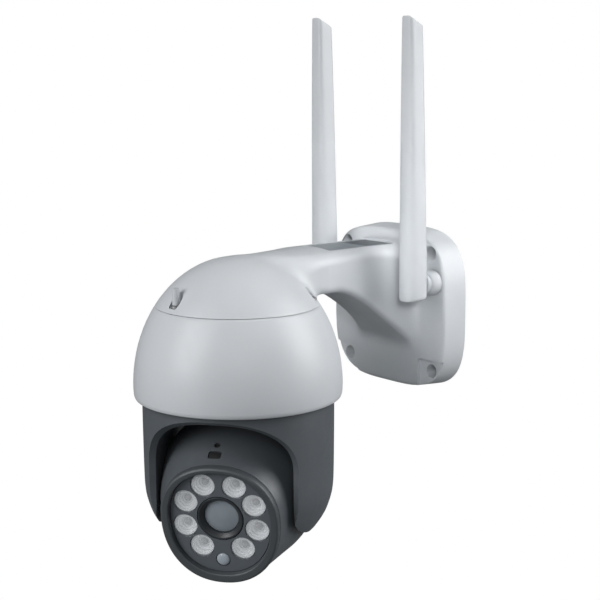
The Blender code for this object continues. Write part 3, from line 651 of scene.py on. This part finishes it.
def relax(points, edges, weight, rounds):
    """Laplacian smoothing, scaled by each point's weight."""
    count = len(points)
    valence = np.bincount(edges.ravel(), minlength=count)[:, None]
    for _ in range(rounds):
        total = np.stack(
            [
                np.bincount(edges[:, 0], points[edges[:, 1], i], count)
                + np.bincount(edges[:, 1], points[edges[:, 0], i], count)
                for i in range(3)
            ],
            1,
        )
        points = points + 0.6 * weight[:, None] * (total / np.maximum(valence, 1) - points)
    return points


def bracket_blank():
    """The cap, arm and base as one skin, meshed on a fine grid and blended where they meet."""
    bm = bmesh.new()
    low = 0.030
    dome = [(r, z + RIM_Z) for r, z in dome_profile(None, low, 24)] + [(0, low + RIM_Z)]
    turn_into(bm, dome, 64, centre=(0, DOME_AXIS_Y))
    rings = []
    for s in np.linspace(ARM_STARTS, ARM_ENDS, 40):
        rings.append([(x, -s, z) for x, z in arm_outline(s, 0)])
    skin(bm, rings, closed=True)
    outline = superellipse(BASE_HALF_X, BASE_HALF_Z, BASE_POWER, 96)
    skin(bm, [[(x, y, z) for x, z in outline] for y in (0.003, -BASE_DEPTH)], closed=True)
    blank = add("bracket_body", bm, "shell_white", Matrix.Identity(4))
    remesh = blank.modifiers.new("remesh", "REMESH")
    remesh.mode = "VOXEL"
    remesh.voxel_size = VOXEL
    bake(blank)
    mesh = blank.data
    points = np.empty(len(mesh.vertices) * 3, np.float32)
    mesh.vertices.foreach_get("co", points)
    points = points.reshape(-1, 3).astype(float)
    edges = np.empty(len(mesh.edges) * 2, np.int32)
    mesh.edges.foreach_get("vertices", edges)
    edges = edges.reshape(-1, 2)
    everywhere = np.ones(len(points))
    points = relax(points, edges, everywhere, 2)
    points = project(points, bracket_distance)
    points = project(relax(points, edges, everywhere, 2), bracket_distance)
    apart = [dome_distance(points), arm_distance(points), base_distance(points)]
    to_dome = 1 - smoothstep(np.abs(apart[0]) + np.abs(apart[1]), 0.002, 0.008)
    to_base = 1 - smoothstep(np.abs(apart[2]) + np.abs(apart[1]), 0.001, 0.004)
    weight = np.maximum(to_dome, to_base)
    points = relax(points, edges, weight, 30)
    mesh.vertices.foreach_set("co", points.astype(np.float32).ravel())
    mesh.update()
    mesh.materials.clear()
    mesh.materials.append(FINISHES["shell_white"])
    return blank


def four_points(x, z):
    return [(sx * x, sz * z) for sx in (-1, 1) for sz in (-1, 1)]


def plate_outline(grow=0.0):
    half_x, half_z, power = BACK_PLATE
    return superellipse(half_x + grow, half_z + grow, power, 128)


def slab(outline, low, high, matrix):
    return loft("cutter", [[(x, y, z) for x, y in outline] for z in (low, high)], None, matrix)


def round_box(low, high, radius, depth, matrix):
    """An upright cutter with rounded corners, over depth = (low, high)."""
    corners = [(high[0], high[1]), (low[0], high[1]), (low[0], low[1]), (high[0], low[1])]
    return slab(rounded(corners, radius, 6, True), *depth, matrix)


def make_bracket():
    shell = bracket_blank()
    world = Matrix.Identity(4)
    cutters = [
        box((-0.08, 0.0, -0.08), (0.08, 0.02, 0.08), world),
        rod(0.0520, 0.020, SEAM_Z + GAP, DOME_FRAME, 96),
    ]
    inside = dome_profile(None, CAP_LOW_Z, 24, WALL) + [(0, CAP_LOW_Z)]
    hollow = turned("cutter", inside, 96, None, DOME_FRAME)
    cut(hollow, [posts(BOSS_RADIUS, 0.030, 0.09, DOME_FRAME)])
    cutters.append(hollow)
    rings = []
    for s in np.linspace(ARM_STARTS, 0.086, 24):
        rings.append([(x, -s, z) for x, z in arm_outline(s, WALL, 3)])
    cutters.append(loft("cutter", rings, None, world))
    cutters.append(slab(plate_outline(GAP), -0.002, RECESS_DEPTH, WALL_FRAME))
    cutters.append(slab(superellipse(*BASE_HOLLOW, 96), -0.002, BASE_HOLLOW_DEPTH, WALL_FRAME))
    mouth = COUNTERBORE_RADIUS + GAP
    stepped = [
        (0, 0.020), (mouth, 0.020), (mouth, 0.0150), (COUNTERBORE_RADIUS, 0.0147),
        (COUNTERBORE_RADIUS, 0.0060), (HOLE_RADIUS, 0.0058), (HOLE_RADIUS, -0.001), (0, -0.001),
    ]
    bm = bmesh.new()
    for x, z in four_points(HOLE_X, HOLE_Z):
        turn_into(bm, stepped, 40, centre=(x, z))
    cutters.append(add("cutter", bm, None, WALL_FRAME))
    bm = bmesh.new()
    for x, z in four_points(*PLATE_SCREW_AT):
        turn_into(bm, [(0, 0.0100), (0.0016, 0.0100), (0.0016, 0.002), (0, 0.002)], 24, centre=(x, z))
    cutters.append(add("cutter", bm, None, WALL_FRAME))
    for side in (-1, 1):
        low, high = sorted((side * CORNER_POCKET_X, side * 0.060))
        depths = (CORNER_POCKET_DEPTH, 0.030)
        cutters.append(round_box((low, -0.060), (high, CORNER_POCKET_Z), 0.0026, depths, WALL_FRAME))
        hinge = (side * ANTENNA_X, ANTENNA_HINGE_Z)
        cutters.append(rod(KNUCKLE_BORE_RADIUS, 0.004, 0.020, WALL_FRAME, 48, hinge))
    cutters.append(
        round_box(
            (-LABEL_HALF_WIDTH, -LABEL_FROM_WALL[1]), (LABEL_HALF_WIDTH, -LABEL_FROM_WALL[0]), 0.0022,
            (LABEL_Z - 0.0006, LABEL_Z + 0.010), world,
        )
    )
    cutters.append(posts(POCKET_RADIUS, POCKET_FLOOR_Z, 0.075, DOME_FRAME))
    cutters.append(posts(CAP_HOLE_RADIUS, 0.040, 0.055, DOME_FRAME, 24))
    cut(shell, cutters)
    smooth(shell, 38)
    stands_for(shell, "bracket", "shell_white", "bracket_shell")


def make_data_plate():
    half = LABEL_HALF_WIDTH - GAP
    ends = [-LABEL_FROM_WALL[1] + GAP, -LABEL_FROM_WALL[0] - GAP]
    heights = (LABEL_Z - GAP, LABEL_Z + 0.0002)
    plate = round_box((-half, ends[0]), (half, ends[1]), 0.0020, heights, Matrix.Identity(4))
    plate.name = "blank_data_plate"
    plate.data.materials.append(FINISHES["label_grey"])
    bevelled(plate, 0.00012)
    stands_for(smooth(plate), "bracket", "label_grey", "data_plate")


def cross_cutter(radius, top, depth, matrix):
    bm = bmesh.new()
    wide = 0.24 * radius
    long = 0.62 * radius
    outline = [
        (long, wide), (wide, wide), (wide, long), (-wide, long), (-wide, wide), (-long, wide),
        (-long, -wide), (-wide, -wide), (-wide, -long), (wide, -long), (wide, -wide), (long, -wide),
    ]
    levels = ((top - depth, 0.55), (top + 0.0005, 1.08))
    skin(bm, [[(x * scale, y * scale, z) for x, y in outline] for z, scale in levels], closed=True)
    return add("cutter", bm, None, matrix)


def screw_piece(name, head_radius, head_height, shank_radius, shank_length, matrix):
    """A pan-head screw with a cross recess, its head's underside at z = 0."""
    head = [(0, head_height)]
    for k in range(1, 9):
        a = pi / 2 * k / 8
        head.append((head_radius * sin(a) ** 0.8, head_height * cos(a) ** 0.7))
    shank = [(shank_radius, 0), (shank_radius, shank_radius - shank_length), (0, -shank_length)]
    profile = head + [(head_radius, 0)] + shank
    obj = turned(name, profile, 32, "steel", matrix)
    cut(obj, [cross_cutter(head_radius, head_height, 0.7 * head_height, matrix)])
    return smooth(obj)


def make_cap_screws():
    for number, a in enumerate(SCREW_ANGLES, 1):
        seat = (SCREW_CIRCLE * cos(a), SCREW_CIRCLE * sin(a), POCKET_FLOOR_Z + GAP)
        place = DOME_FRAME @ Matrix.Translation(seat)
        turn = place @ Matrix.Rotation(0.4 + number, 4, "Z")
        obj = screw_piece(f"cap_screw_head_{number}", 0.0028, 0.0018, 0.0014, 0.014, turn)
        obj.data.materials[0] = DARK_ZINC
        stands_for(obj, "bracket", "steel", f"cap_screw_{number}")


def make_wall_side():
    plate = slab(plate_outline(), 0.0, BACK_PLATE_THICKNESS, WALL_FRAME)
    plate.name = "wall_side_plate"
    plate.data.materials.append(FINISHES["shell_white"])
    cutters = [rod(GROMMET_HOLE_RADIUS, -0.002, 0.006, WALL_FRAME, 64, GROMMET_AT)]
    sink = [(0, 0.0050), (0.0016, 0.0050), (0.0016, 0.0013), (0.0032, -0.0003), (0, -0.0003)]
    screw = [(0, 0.0002), (0.0025, 0.0002), (0.0013, 0.0012), (0.0013, 0.0080), (0, 0.0092)]
    bm = bmesh.new()
    for x, z in four_points(*PLATE_SCREW_AT):
        turn_into(bm, sink, 32, centre=(x, z))
    cutters.append(add("cutter", bm, None, WALL_FRAME))
    groove = slab(plate_outline(-0.0040), -0.001, 0.0004, WALL_FRAME)
    cut(groove, [slab(plate_outline(-0.0052), -0.002, 0.001, WALL_FRAME)])
    cutters.append(groove)
    cut(plate, cutters)
    stands_for(smooth(plate), "bracket", "shell_white", "base_back_plate")
    for number, (x, z) in enumerate(four_points(*PLATE_SCREW_AT), 1):
        place = WALL_FRAME @ Matrix.Translation((x, z, 0))
        obj = turned(f"plate_screw_head_{number}", rounded(screw, 0.0002, 2), 32, "steel", place)
        flip = place @ Matrix.Rotation(pi, 4, "X")
        cut(obj, [cross_cutter(0.0025, -0.0002, 0.0010, flip)])
        stands_for(smooth(obj), "bracket", "steel", f"plate_screw_{number}")
    grommet = [
        (0.0086, 0.0046), (0.0086, 0.0027), (0.0065, 0.0027), (0.0065, 0.0002), (0.0040, 0.0002),
        (0.0040, 0.0046),
    ]
    place = WALL_FRAME @ Matrix.Translation((*GROMMET_AT, 0))
    obj = turned("cable_gland", rounded(grommet, 0.0004, 3, True), 64, "rubber_black", place, looped=True)
    stands_for(smooth(obj), "bracket", "rubber_black", "cable_grommet")


# Antennas


def between(table, z):
    """The values at z, in straight steps between rows of (z, values...)."""
    for low, high in zip(table, table[1:]):
        if z <= high[0]:
            t = (z - low[0]) / (high[0] - low[0])
            return [a + (b - a) * t for a, b in zip(low[1:], high[1:])]
    return list(table[-1][1:])


def make_antenna(side, name, body):
    hinge = WALL_FRAME @ Matrix.Translation((side * ANTENNA_X, ANTENNA_HINGE_Z, 0))
    length = ANTENNA_TIP_Z - ANTENNA_FOOT_Z
    foot = ANTENNA_FOOT_ROUND
    tip = length - ANTENNA_TIP_ROUND
    tip_x, tip_y = ANTENNA_TIP_HALF
    sizes = [
        (foot, ANTENNA_HALF, ANTENNA_HALF, 2.6), (0.0200, 0.0065, 0.0066, 2.8), (0.0500, 0.0058, 0.0061, 3.2),
        (0.0950, 0.0049, 0.0054, 4.5), (tip, tip_x, tip_y, 6.0),
    ]
    rings = []
    for k in range(8):
        a = pi / 2 * k / 8
        half = ANTENNA_HALF - foot * (1 - sin(a))
        rings.append((foot * (1 - cos(a)), half, half, 2.6, 0.0))
    for k in range(40):
        z = foot + (tip - foot) * k / 39
        lean = ANTENNA_TIP_LEAN * max(0.0, (z - 0.095) / (length - 0.096)) ** 6
        rings.append((z, *between(sizes, z), lean))
    for k in range(1, 6):
        a = pi / 2 * k / 5
        drop = ANTENNA_TIP_ROUND * (1 - cos(a))
        rings.append((tip + ANTENNA_TIP_ROUND * sin(a), tip_x - drop, tip_y - drop, 6.0, 0.0046))
    shapes = []
    for z, half_x, half_y, power, lean in rings:
        ring = []
        for x, y in superellipse(half_x, half_y, power, 48):
            level = z - lean * (y / half_y + 1) / 2
            ring.append((x, level + ANTENNA_FOOT_Z - ANTENNA_HINGE_Z, ANTENNA_FRONT - half_y - y))
        shapes.append(ring)
    blade = smooth(loft(f"{name}_blade", shapes, "shell_white", hinge), 40)
    stands_for(blade, body, "shell_white", name)
    knuckle = [
        (0, 0.0233), (0.0048, 0.0233), (0.0052, 0.0229), (0.0052, 0.0217), (0.0043, 0.0214), (0.0043, 0.0207),
        (0.0054, 0.0204), (0.0063, 0.0192), (0.0068, 0.0176), (0.0069, 0.0158), (0.0066, 0.0155),
        (0.0030, 0.0155), (0.0030, 0.0100), (0, 0.0100),
    ]
    radii = [0, 0.0002, 0.0003, 0.0004, 0.0002, 0.0002, 0.0006, 0.0012, 0.0012, 0.0004, 0.0002]
    radii += [0.0003, 0.0003, 0]
    obj = turned(f"{name}_swivel", rounded(knuckle, radii, 4), 64, "shell_white", hinge)
    stands_for(smooth(obj, 40), body, "shell_white", f"{name}_knuckle")


# Dome skirt


def make_skirt():
    outer = dome_profile(SEAM_Z, DOME_MIDDLE_Z, 48)
    lip = rounded([outer[-1], (0.0538, 0.0020), (0.0532, 0.0004), (0.0522, 0.0)], 0.0010, 4)[1:] + [(0, 0)]
    edge = [(0, SEAM_Z), (outer[0][0] - GAP, SEAM_Z), (outer[0][0] - 0.00005, SEAM_Z - 0.0002)]
    skirt = turned("dome_lower", edge + outer[1:] + lip, 160, "shell_white", DOME_FRAME)
    side = dome_profile(0.052, 0.008, 24, WALL)
    mouth = [(0.0514, 0.0040), (0.0506, 0.0012), (0.0506, -0.002), (0, -0.002)]
    hollow = turned("cutter", [(0, 0.052)] + side + mouth, 160, None, DOME_FRAME)
    cut(hollow, [posts(BOSS_RADIUS, 0.0170, 0.08, DOME_FRAME)])
    cut(skirt, [hollow, posts(CAP_HOLE_RADIUS, 0.010, 0.060, DOME_FRAME, 24)])
    stands_for(smooth(skirt, 30), "bracket", "shell_white", "dome_skirt")


# Yoke


def arch_outline(half_width, top, flare, power):
    """An arch whose straight sides flare out toward their foot, as (u, z)."""
    side = []
    rise = top - ARCH_SPRING_Z
    for k in range(40):
        angle = pi / 2 * (1 - k / 39)
        scale = (cos(angle) ** ARCH_POWER + sin(angle) ** ARCH_POWER) ** (-1 / ARCH_POWER)
        side.append((half_width * scale * cos(angle), ARCH_SPRING_Z + rise * scale * sin(angle)))
    side[0] = (0.0, top)
    for k in range(1, 17):
        z = ARCH_SPRING_Z + (ARCH_LOW_Z - ARCH_SPRING_Z) * k / 16
        side.append((half_width + min(0.0060, flare * (k / 16) ** power), z))
    return side + [(-u, z) for u, z in reversed(side[1:])]


def depth_at(u, radius):
    return radius * sqrt(max(0.0, 1 - (u / radius) ** 2))


def lip_cutter(front):
    """Slopes the opening's edge back to a raised lip, at the front (1) or the back (-1)."""
    inner = arch_outline(YOKE_GAP_HALF, ARCH_TOP_Z, 0.017, 6)
    outer = arch_outline(LIP_HALF, LIP_TOP_Z, 0.0030, 2)
    rings = [
        [(u, -0.010 * front, z) for u, z in inner],
        [(u, -depth_at(u, LIP_FLOOR_RADIUS) * front, z) for u, z in inner],
        [(u, -depth_at(u, LIP_EDGE_RADIUS) * front, z) for u, z in outer],
        [(1.03 * u, -0.062 * front, z + 0.0015) for u, z in outer],
    ]
    return loft("cutter", rings, None, PAN_FRAME)


def liner_outline(grow):
    half_x, half_y = LINER_HALF
    return [(x + LINER_DROP, y) for x, y in superellipse(half_x + grow, half_y + grow, 3.0, 96)]


def make_yoke():
    profile = [
        (0, YOKE_TOP_Z), (0.0491, YOKE_TOP_Z), (YOKE_RADIUS, YOKE_TOP_Z - 0.0005), (0.0496, -0.012),
        (0.0494, -0.035), (0.0492, -0.045), (0.0486, -0.0505), (0.0474, -0.0550), (0.0458, -0.0595),
        (0.0437, -0.0633), (0.0420, -0.0658), (0.0404, -0.0680), (0.0392, -0.0692), (0, -0.0692),
    ]
    radii = [0, 0.0003, 0.0003] + [0.010] * 8 + [0.0010, 0.0010, 0]
    yoke = turned("yoke_fork", rounded(profile, radii, 4), 176, "shell_grey", PAN_FRAME)
    inner = arch_outline(YOKE_GAP_HALF, ARCH_TOP_Z, 0.017, 6)
    cutters = [loft("cutter", [[(u, y, z) for u, z in inner] for y in (-0.060, 0.060)], None, PAN_FRAME)]
    cutters += [lip_cutter(1), lip_cutter(-1)]
    well = [(0.0170, 0.0060), (0.0466, 0.0060), (0.0466, -0.0016), (0.0170, -0.0016)]
    cutters.append(turned("cutter", well, 96, None, PAN_FRAME, looped=True))
    cutters.append(rod(PAN_BORE_RADIUS, -0.010, 0.010, PAN_FRAME, 48))
    for side in (1, -1):
        depths = (YOKE_GAP_HALF - 0.002, YOKE_GAP_HALF + LINER_THICKNESS + GAP)
        rings = [[(side * u, y, TILT_AXIS_Z + x) for x, y in liner_outline(0.0)] for u in depths]
        cutters.append(loft("cutter", rings, None, PAN_FRAME))
        bore = PAN_FRAME @ Matrix.Translation((0, 0, TILT_AXIS_Z)) @ Matrix.Rotation(side * pi / 2, 4, "Y")
        cutters.append(rod(HUB_HOLE_RADIUS, 0.030, 0.0425, bore, 48))
    cut(yoke, cutters)
    stands_for(smooth(yoke, 30), "yoke", "shell_grey", "yoke_shell")
    for side, label in ((1, "right"), (-1, "left")):
        turn = Matrix.Translation((side * (YOKE_GAP_HALF + LINER_THICKNESS / 2 + 0.0001), 0, TILT_AXIS_Z))
        place = PAN_FRAME @ turn @ Matrix.Rotation(-pi / 2, 4, "Y")
        outlines = [liner_outline(-GAP), circle(LINER_HOLE_RADIUS, 64)]
        thickness = LINER_THICKNESS - 0.0001
        obj = flat(f"yoke_cover_{label}", outlines, thickness, "shell_grey", place)
        stands_for(smooth(obj, 30), "yoke", "shell_grey", f"yoke_liner_{label}")


# Head


def oval_radius(angle, half_width, top, bottom):
    """A rounded outline's radius at an angle from +u, with its own heights above and below."""
    tall = top if angle % (2 * pi) < pi else bottom
    across = abs(cos(angle) / half_width) ** FACE_POWER
    return (across + abs(sin(angle) / tall) ** FACE_POWER) ** (-1 / FACE_POWER)


def face_radius(angle, grow):
    return oval_radius(angle, FACE_HALF_WIDTH + grow, FACE_TOP + grow, FACE_BOTTOM + grow)


def plate_radius(angle, grow):
    return oval_radius(angle, PLATE_HALF_WIDTH + grow, PLATE_TOP + grow, PLATE_BOTTOM + grow)


def outline_of(radius, grow):
    angles = [2 * pi * k / FACE_STEPS for k in range(FACE_STEPS)]
    return [(radius(a, grow) * cos(a), radius(a, grow) * sin(a)) for a in angles]


def head_ring(depth, inset):
    """A section of the head at a depth in front of the tilt axis: a ball drawn out to the face outline."""
    radius = HEAD_RADIUS - inset
    points = []
    for k in range(FACE_STEPS):
        angle = 2 * pi * k / FACE_STEPS
        rim = face_radius(angle, -inset)
        reach = hypot(BEZEL_BACK, rim)
        touch = radius * cos(atan2(rim, BEZEL_BACK) + acos(min(1.0, radius / reach)))
        if depth > touch:
            start = sqrt(radius**2 - touch**2)
            out = start + (rim - start) * (depth - touch) / (BEZEL_BACK - touch)
        else:
            out = sqrt(max(0.0, radius**2 - depth**2))
        points.append((out * cos(angle), out * sin(angle), depth))
    return points


def make_head():
    ball = [radians(a) for a in np.linspace(-86, 0, 28)]
    ahead = list(np.linspace(0.003, BEZEL_BACK - GAP, 14))
    outer = [HEAD_RADIUS * sin(a) for a in ball] + ahead
    inner = [(HEAD_RADIUS - HEAD_WALL) * sin(a) for a in ball] + ahead[:-1] + [0.0370]
    shell = loft("head_case", [head_ring(d, 0) for d in outer], "shell_grey", FACE_FRAME)
    hollow = loft("cutter", [head_ring(d, HEAD_WALL) for d in inner], None, FACE_FRAME)
    for solid, half in ((shell, HEAD_HALF_WIDTH), (hollow, HEAD_HALF_WIDTH - HEAD_WALL)):
        cut(solid, [box((-half, -0.060, -0.060), (half, 0.060, 0.060), FACE_FRAME)], "INTERSECT")
    cutters = [hollow]
    for side, radius in ((1, 0.0080), (-1, 0.0094)):
        cutters.append(rod(radius, 0.028, 0.040, FACE_FRAME @ Matrix.Rotation(side * pi / 2, 4, "Y")))
    slope = atan2(FACE_TOP - TOP_SLOPE_FROM[1], BEZEL_BACK - TOP_SLOPE_FROM[0])
    turn = Matrix.Rotation(-pi / 2 - slope, 4, "X")
    seat = FACE_FRAME @ Matrix.Translation((SLOT_U, SLOT_V, SLOT_FORWARD)) @ turn
    wide, tall = SLOT_HALF
    cutters.append(round_box((-wide, -tall), (wide, tall), 0.0013, (-0.006, 0.006), seat))
    cutters.append(rod(BUTTON_HOLE_RADIUS, -0.006, 0.006, seat, 32, (0, BUTTON_FROM_SLOT)))
    cut(shell, cutters)
    stands_for(smooth(shell, 30), "head", "shell_grey", "head_shell")
    plug = round_box((GAP - wide, GAP - tall), (wide - GAP, tall - GAP), 0.0011, (-0.0026, -0.0004), seat)
    plug.name = "slot_plug"
    plug.data.materials.append(FINISHES["rubber_black"])
    bevelled(plug, 0.00025)
    stands_for(smooth(plug), "head", "rubber_black", "card_slot_plug")
    button = [
        (0, -0.0008), (0.0012, -0.0009), (0.0014, -0.0012), (0.0014, -0.0045), (0.0024, -0.0045),
        (0.0024, -0.0055), (0, -0.0055),
    ]
    place = seat @ Matrix.Translation((0, BUTTON_FROM_SLOT, 0))
    obj = turned("reset_key_cap", rounded(button, 0.0003, 3), 40, "rubber_black", place)
    stands_for(smooth(obj), "reset_key", "rubber_black", "reset_button")


def make_bezel():
    section = [
        (face_radius, 0.0, BEZEL_BACK), (face_radius, 0.0, 0.0385), (face_radius, -0.0002, 0.0391),
        (face_radius, -0.0004, 0.0395), (face_radius, -0.0008, 0.0398), (face_radius, -0.0012, BEZEL_FRONT),
        (plate_radius, 0.0016, BEZEL_FRONT), (plate_radius, 0.0010, 0.0399),
        (plate_radius, 0.0006, 0.0396), (plate_radius, 0.0005, 0.0391),
        (plate_radius, GAP, 0.0372), (plate_radius, GAP, BEZEL_BACK),
    ]
    rings = [[(x, y, depth) for x, y in outline_of(radius, grow)] for radius, grow, depth in section]
    # The bezel uses the darker slate copy, whose colour carries painted shade rather than a different plastic
    bezel = loft("face_ring", rings, SHADED_BEZEL_SLATE, FACE_FRAME, looped=True)
    stands_for(smooth(bezel, 24), "head", "shell_grey", "front_bezel")


def led_points():
    return [(side * LED_CIRCLE * sin(a), LED_CIRCLE * cos(a)) for a in LED_ANGLES for side in (-1, 1)]


def make_face():
    outlines = [outline_of(plate_radius, 0.0), circle(BARREL_HOLE_RADIUS, 96)]
    outlines += [circle(LED_RADIUS + GAP, 56, point) for point in led_points()]
    outlines.append(circle(SENSOR_HOLE_RADIUS, 48, (0, SENSOR_V)))
    place = FACE_FRAME @ Matrix.Translation((0, 0, PLATE_FRONT - FACE_PLATE_THICKNESS / 2))
    plate = flat("lamp_panel", outlines, FACE_PLATE_THICKNESS, "panel_grey", place)
    stands_for(smooth(plate, 30), "head", "panel_grey", "face_plate")
    for number, (u, v) in enumerate(led_points(), 1):
        make_lamp(number, FACE_FRAME @ Matrix.Translation((u, v, 0)))
    make_lens()


def make_lamp(number, place):
    """A lamp: a clear domed window over a stepped reflector cup, with a small bead at its foot."""
    window = [(0, 0.0383)]
    for k in range(1, 9):
        r = 0.0056 * k / 8
        window.append((r, 0.0383 - 0.0014 * (r / 0.0056) ** 2.2))
    window += [(LED_RADIUS - 0.0002, 0.0366), (LED_RADIUS, 0.0364), (LED_RADIUS, LED_SEAT), (0, LED_SEAT)]
    obj = turned(f"lamp_window_{number}", window, 48, "led_clear", place)
    stands_for(smooth(obj, 40), "head", "led_clear", f"led_lens_{number}")
    cup = [
        (LED_RADIUS - 0.0001, 0.0356), (0.0052, 0.0355), (0.0049, 0.0346), (0.0041, 0.0344), (0.0038, 0.0334),
        (0.0030, 0.0332), (0.0026, 0.0322), (0.0016, 0.0318), (0, 0.0318), (0, 0.0311), (0.0035, 0.0311),
        (LED_RADIUS - 0.0001, 0.0340),
    ]
    obj = turned(f"lamp_cup_{number}", cup, 48, REFLECTOR, place, looped=True)
    settle(smooth(obj, 30), "head")
    bead = [(0, 0.0340)]
    for k in range(1, 9):
        a = pi / 2 * k / 8
        bead.append((0.0019 * sin(a), 0.0322 + 0.0018 * cos(a)))
    bead += [(0.0019, 0.0320), (0, 0.0320)]
    obj = turned(f"lamp_bead_{number}", bead, 32, LAMP_BEAD, place)
    settle(smooth(obj, 40), "head")


def make_lens():
    barrel = [
        (0.0117, 0.0372), (0.0118, 0.0368), (0.0118, 0.0320), (0.0094, 0.0312), (0.0094, 0.0160),
        (0.0070, 0.0160), (0.0070, 0.0316), (0.0091, 0.0322), (0.0091, 0.0352), (0.0096, 0.0358),
        (0.0109, 0.0372),
    ]
    radii = [0.0002, 0.0003, 0.0003, 0.0003, 0.0003, 0.0003, 0.0003, 0.0003, 0.0002, 0.0005, 0.0004]
    obj = turned("lens_ring", rounded(barrel, radii, 3, True), 96, BARREL_BLACK, FACE_FRAME, looped=True)
    stands_for(smooth(obj, 40), "head", "panel_grey", "lens_barrel")
    front = [(LENS_RADIUS * k / 16, LENS_CROWN - 0.0020 * (k / 16) ** 2) for k in range(17)]
    obj = turned("lens_window", front + [(LENS_RADIUS, 0.0330), (0, 0.0330)], 96, "lens_glass", FACE_FRAME)
    stands_for(smooth(obj, 40), "head", "lens_glass", "lens_glass")
    iris = [(0.0050, 0.0327), (0.0087, 0.0327), (0.0087, 0.0323), (0.0050, 0.0323)]
    settle(turned("lens_iris", iris, 64, LENS_INNER, FACE_FRAME, looped=True), "head")
    angles = [pi / 2 * k / 10 for k in range(11)]
    sensor = [(SENSOR_RADIUS * sin(a), 0.0366 + 0.0012 * cos(a)) for a in angles]
    sensor += [(SENSOR_RADIUS, 0.0310), (0, 0.0310)]
    place = FACE_FRAME @ Matrix.Translation((0, SENSOR_V, 0))
    obj = turned("light_sensor_window", sensor, 48, SENSOR_GLASS, place)
    stands_for(smooth(obj, 40), "head", "lens_glass", "light_sensor")


# Setting


def direction(azimuth, elevation):
    """A unit vector toward a viewpoint: azimuth 0 looks at the front, and 90 at the right side."""
    return Vector((sin(azimuth) * cos(elevation), -cos(azimuth) * cos(elevation), sin(elevation)))


def add_light(light, aim, toward, distance):
    """Places the light at a distance from its aim, facing it."""
    obj = bpy.data.objects.new(light.name, light)
    facing = toward.to_track_quat("Z", "Y").to_matrix().to_4x4()
    obj.matrix_world = Matrix.Translation(aim + distance * toward) @ facing
    bpy.context.scene.collection.objects.link(obj)


def camera_and_lights():
    back = direction(CAMERA_AZIMUTH, CAMERA_ELEVATION)
    level = Vector((cos(CAMERA_AZIMUTH), sin(CAMERA_AZIMUTH), 0))
    up = back.cross(level)
    right = level * cos(CAMERA_ROLL) + up * sin(CAMERA_ROLL)
    above = up * cos(CAMERA_ROLL) - level * sin(CAMERA_ROLL)
    turn = Matrix((right, above, back)).transposed().to_4x4()
    data = bpy.data.cameras.new("camera")
    data.sensor_width = 36
    data.lens = FOCAL_LENGTH
    data.clip_start = 0.01
    camera = bpy.data.objects.new("camera", data)
    camera.matrix_world = Matrix.Translation(CAMERA_AT) @ turn
    bpy.context.scene.collection.objects.link(camera)
    bpy.context.scene.camera = camera
    for name, azimuth, elevation, distance, size, power in (
        ("left_box", -4, 24, 0.95, (0.55, 0.75), 6.8),
        ("right_box", 137, 24, 0.95, (0.60, 0.80), 8.6),
        ("overhead", 50, 86, 1.0, (1.1, 1.1), 1.4),
        ("front_fill", 50, 20, 1.6, (1.2, 0.8), 2.6),
    ):
        light = bpy.data.lights.new(name, "AREA")
        light.shape = "RECTANGLE"
        light.size, light.size_y = size
        light.energy = power
        add_light(light, MIDDLE, direction(radians(azimuth), radians(elevation)), distance)


def bracket_fill():
    """A narrow soft light past the dome, on the arm, the antennas and the base."""
    light = bpy.data.lights.new("bracket_fill", "AREA")
    light.size = 0.12
    light.spread = radians(20)
    light.energy = 0.026
    aim = Vector((0.025, -0.020, 0.045))
    add_light(light, aim, Vector((0.76, -0.58, 0.28)).normalized(), 0.5)


def pale_setting():
    """A pale floor, and a backdrop of the same tone that lights the object only a little."""
    scene = bpy.context.scene
    scene.view_settings.view_transform = "Standard"
    scene.view_settings.look = "None"
    world = bpy.data.worlds.new("studio")
    world.use_nodes = True
    nodes = world.node_tree.nodes
    links = world.node_tree.links
    background = nodes["Background"]
    seen = nodes.new("ShaderNodeLightPath").outputs["Is Camera Ray"]
    sky = blend_colours(nodes, links, seen, (0.115, 0.122, 0.130), (1.0, 1.0, 1.0))
    links.new(sky, background.inputs["Color"])
    scene.world = world
    bm = bmesh.new()
    bmesh.ops.create_grid(bm, x_segments=1, y_segments=1, size=6)
    made, nodes, links = new_material("pale_floor")
    shader = nodes["Principled BSDF"]
    shader.inputs["Base Color"].default_value = (0.17, 0.175, 0.18, 1)
    shader.inputs["Roughness"].default_value = 0.9
    glow = nodes.new("ShaderNodeEmission")
    glow.inputs["Color"].default_value = (1, 1, 1, 1)
    mix = nodes.new("ShaderNodeMixShader")
    links.new(nodes.new("ShaderNodeLightPath").outputs["Is Camera Ray"], mix.inputs[0])
    links.new(shader.outputs[0], mix.inputs[1])
    links.new(glow.outputs[0], mix.inputs[2])
    links.new(mix.outputs[0], nodes["Material Output"].inputs["Surface"])
    floor = add("pale_floor", bm, made, Matrix.Translation((0, MIDDLE.y, FLOOR_Z)))


def repaint_nodes():
    slots = {}
    for entry in frame["record"]["materials"]:
        for node in entry.get("nodes", []):
            slots[node] = entry["slot"]
    for name, obj in frame["nodes"].items():
        slot = slots.get(name)
        if slot is None and obj.material_slots and obj.material_slots[0].material:
            slot = obj.material_slots[0].material.name.split(".")[0]
        finish = FINISHES.get(slot, FINISHES["acetal"])
        for k in range(max(1, len(obj.material_slots))):
            if not obj.material_slots:
                obj.data.materials.append(finish)
            obj.material_slots[k].material = finish


camera_and_lights()
bracket_fill()
pale_setting()
repaint_nodes()
make_bracket()
make_data_plate()
make_cap_screws()
make_wall_side()
make_skirt()
for side, name in ((-1, "antenna_left"), (1, "antenna_right")):
    make_antenna(side, name, f"{name}_arm")
make_yoke()
make_head()
make_bezel()
make_face()
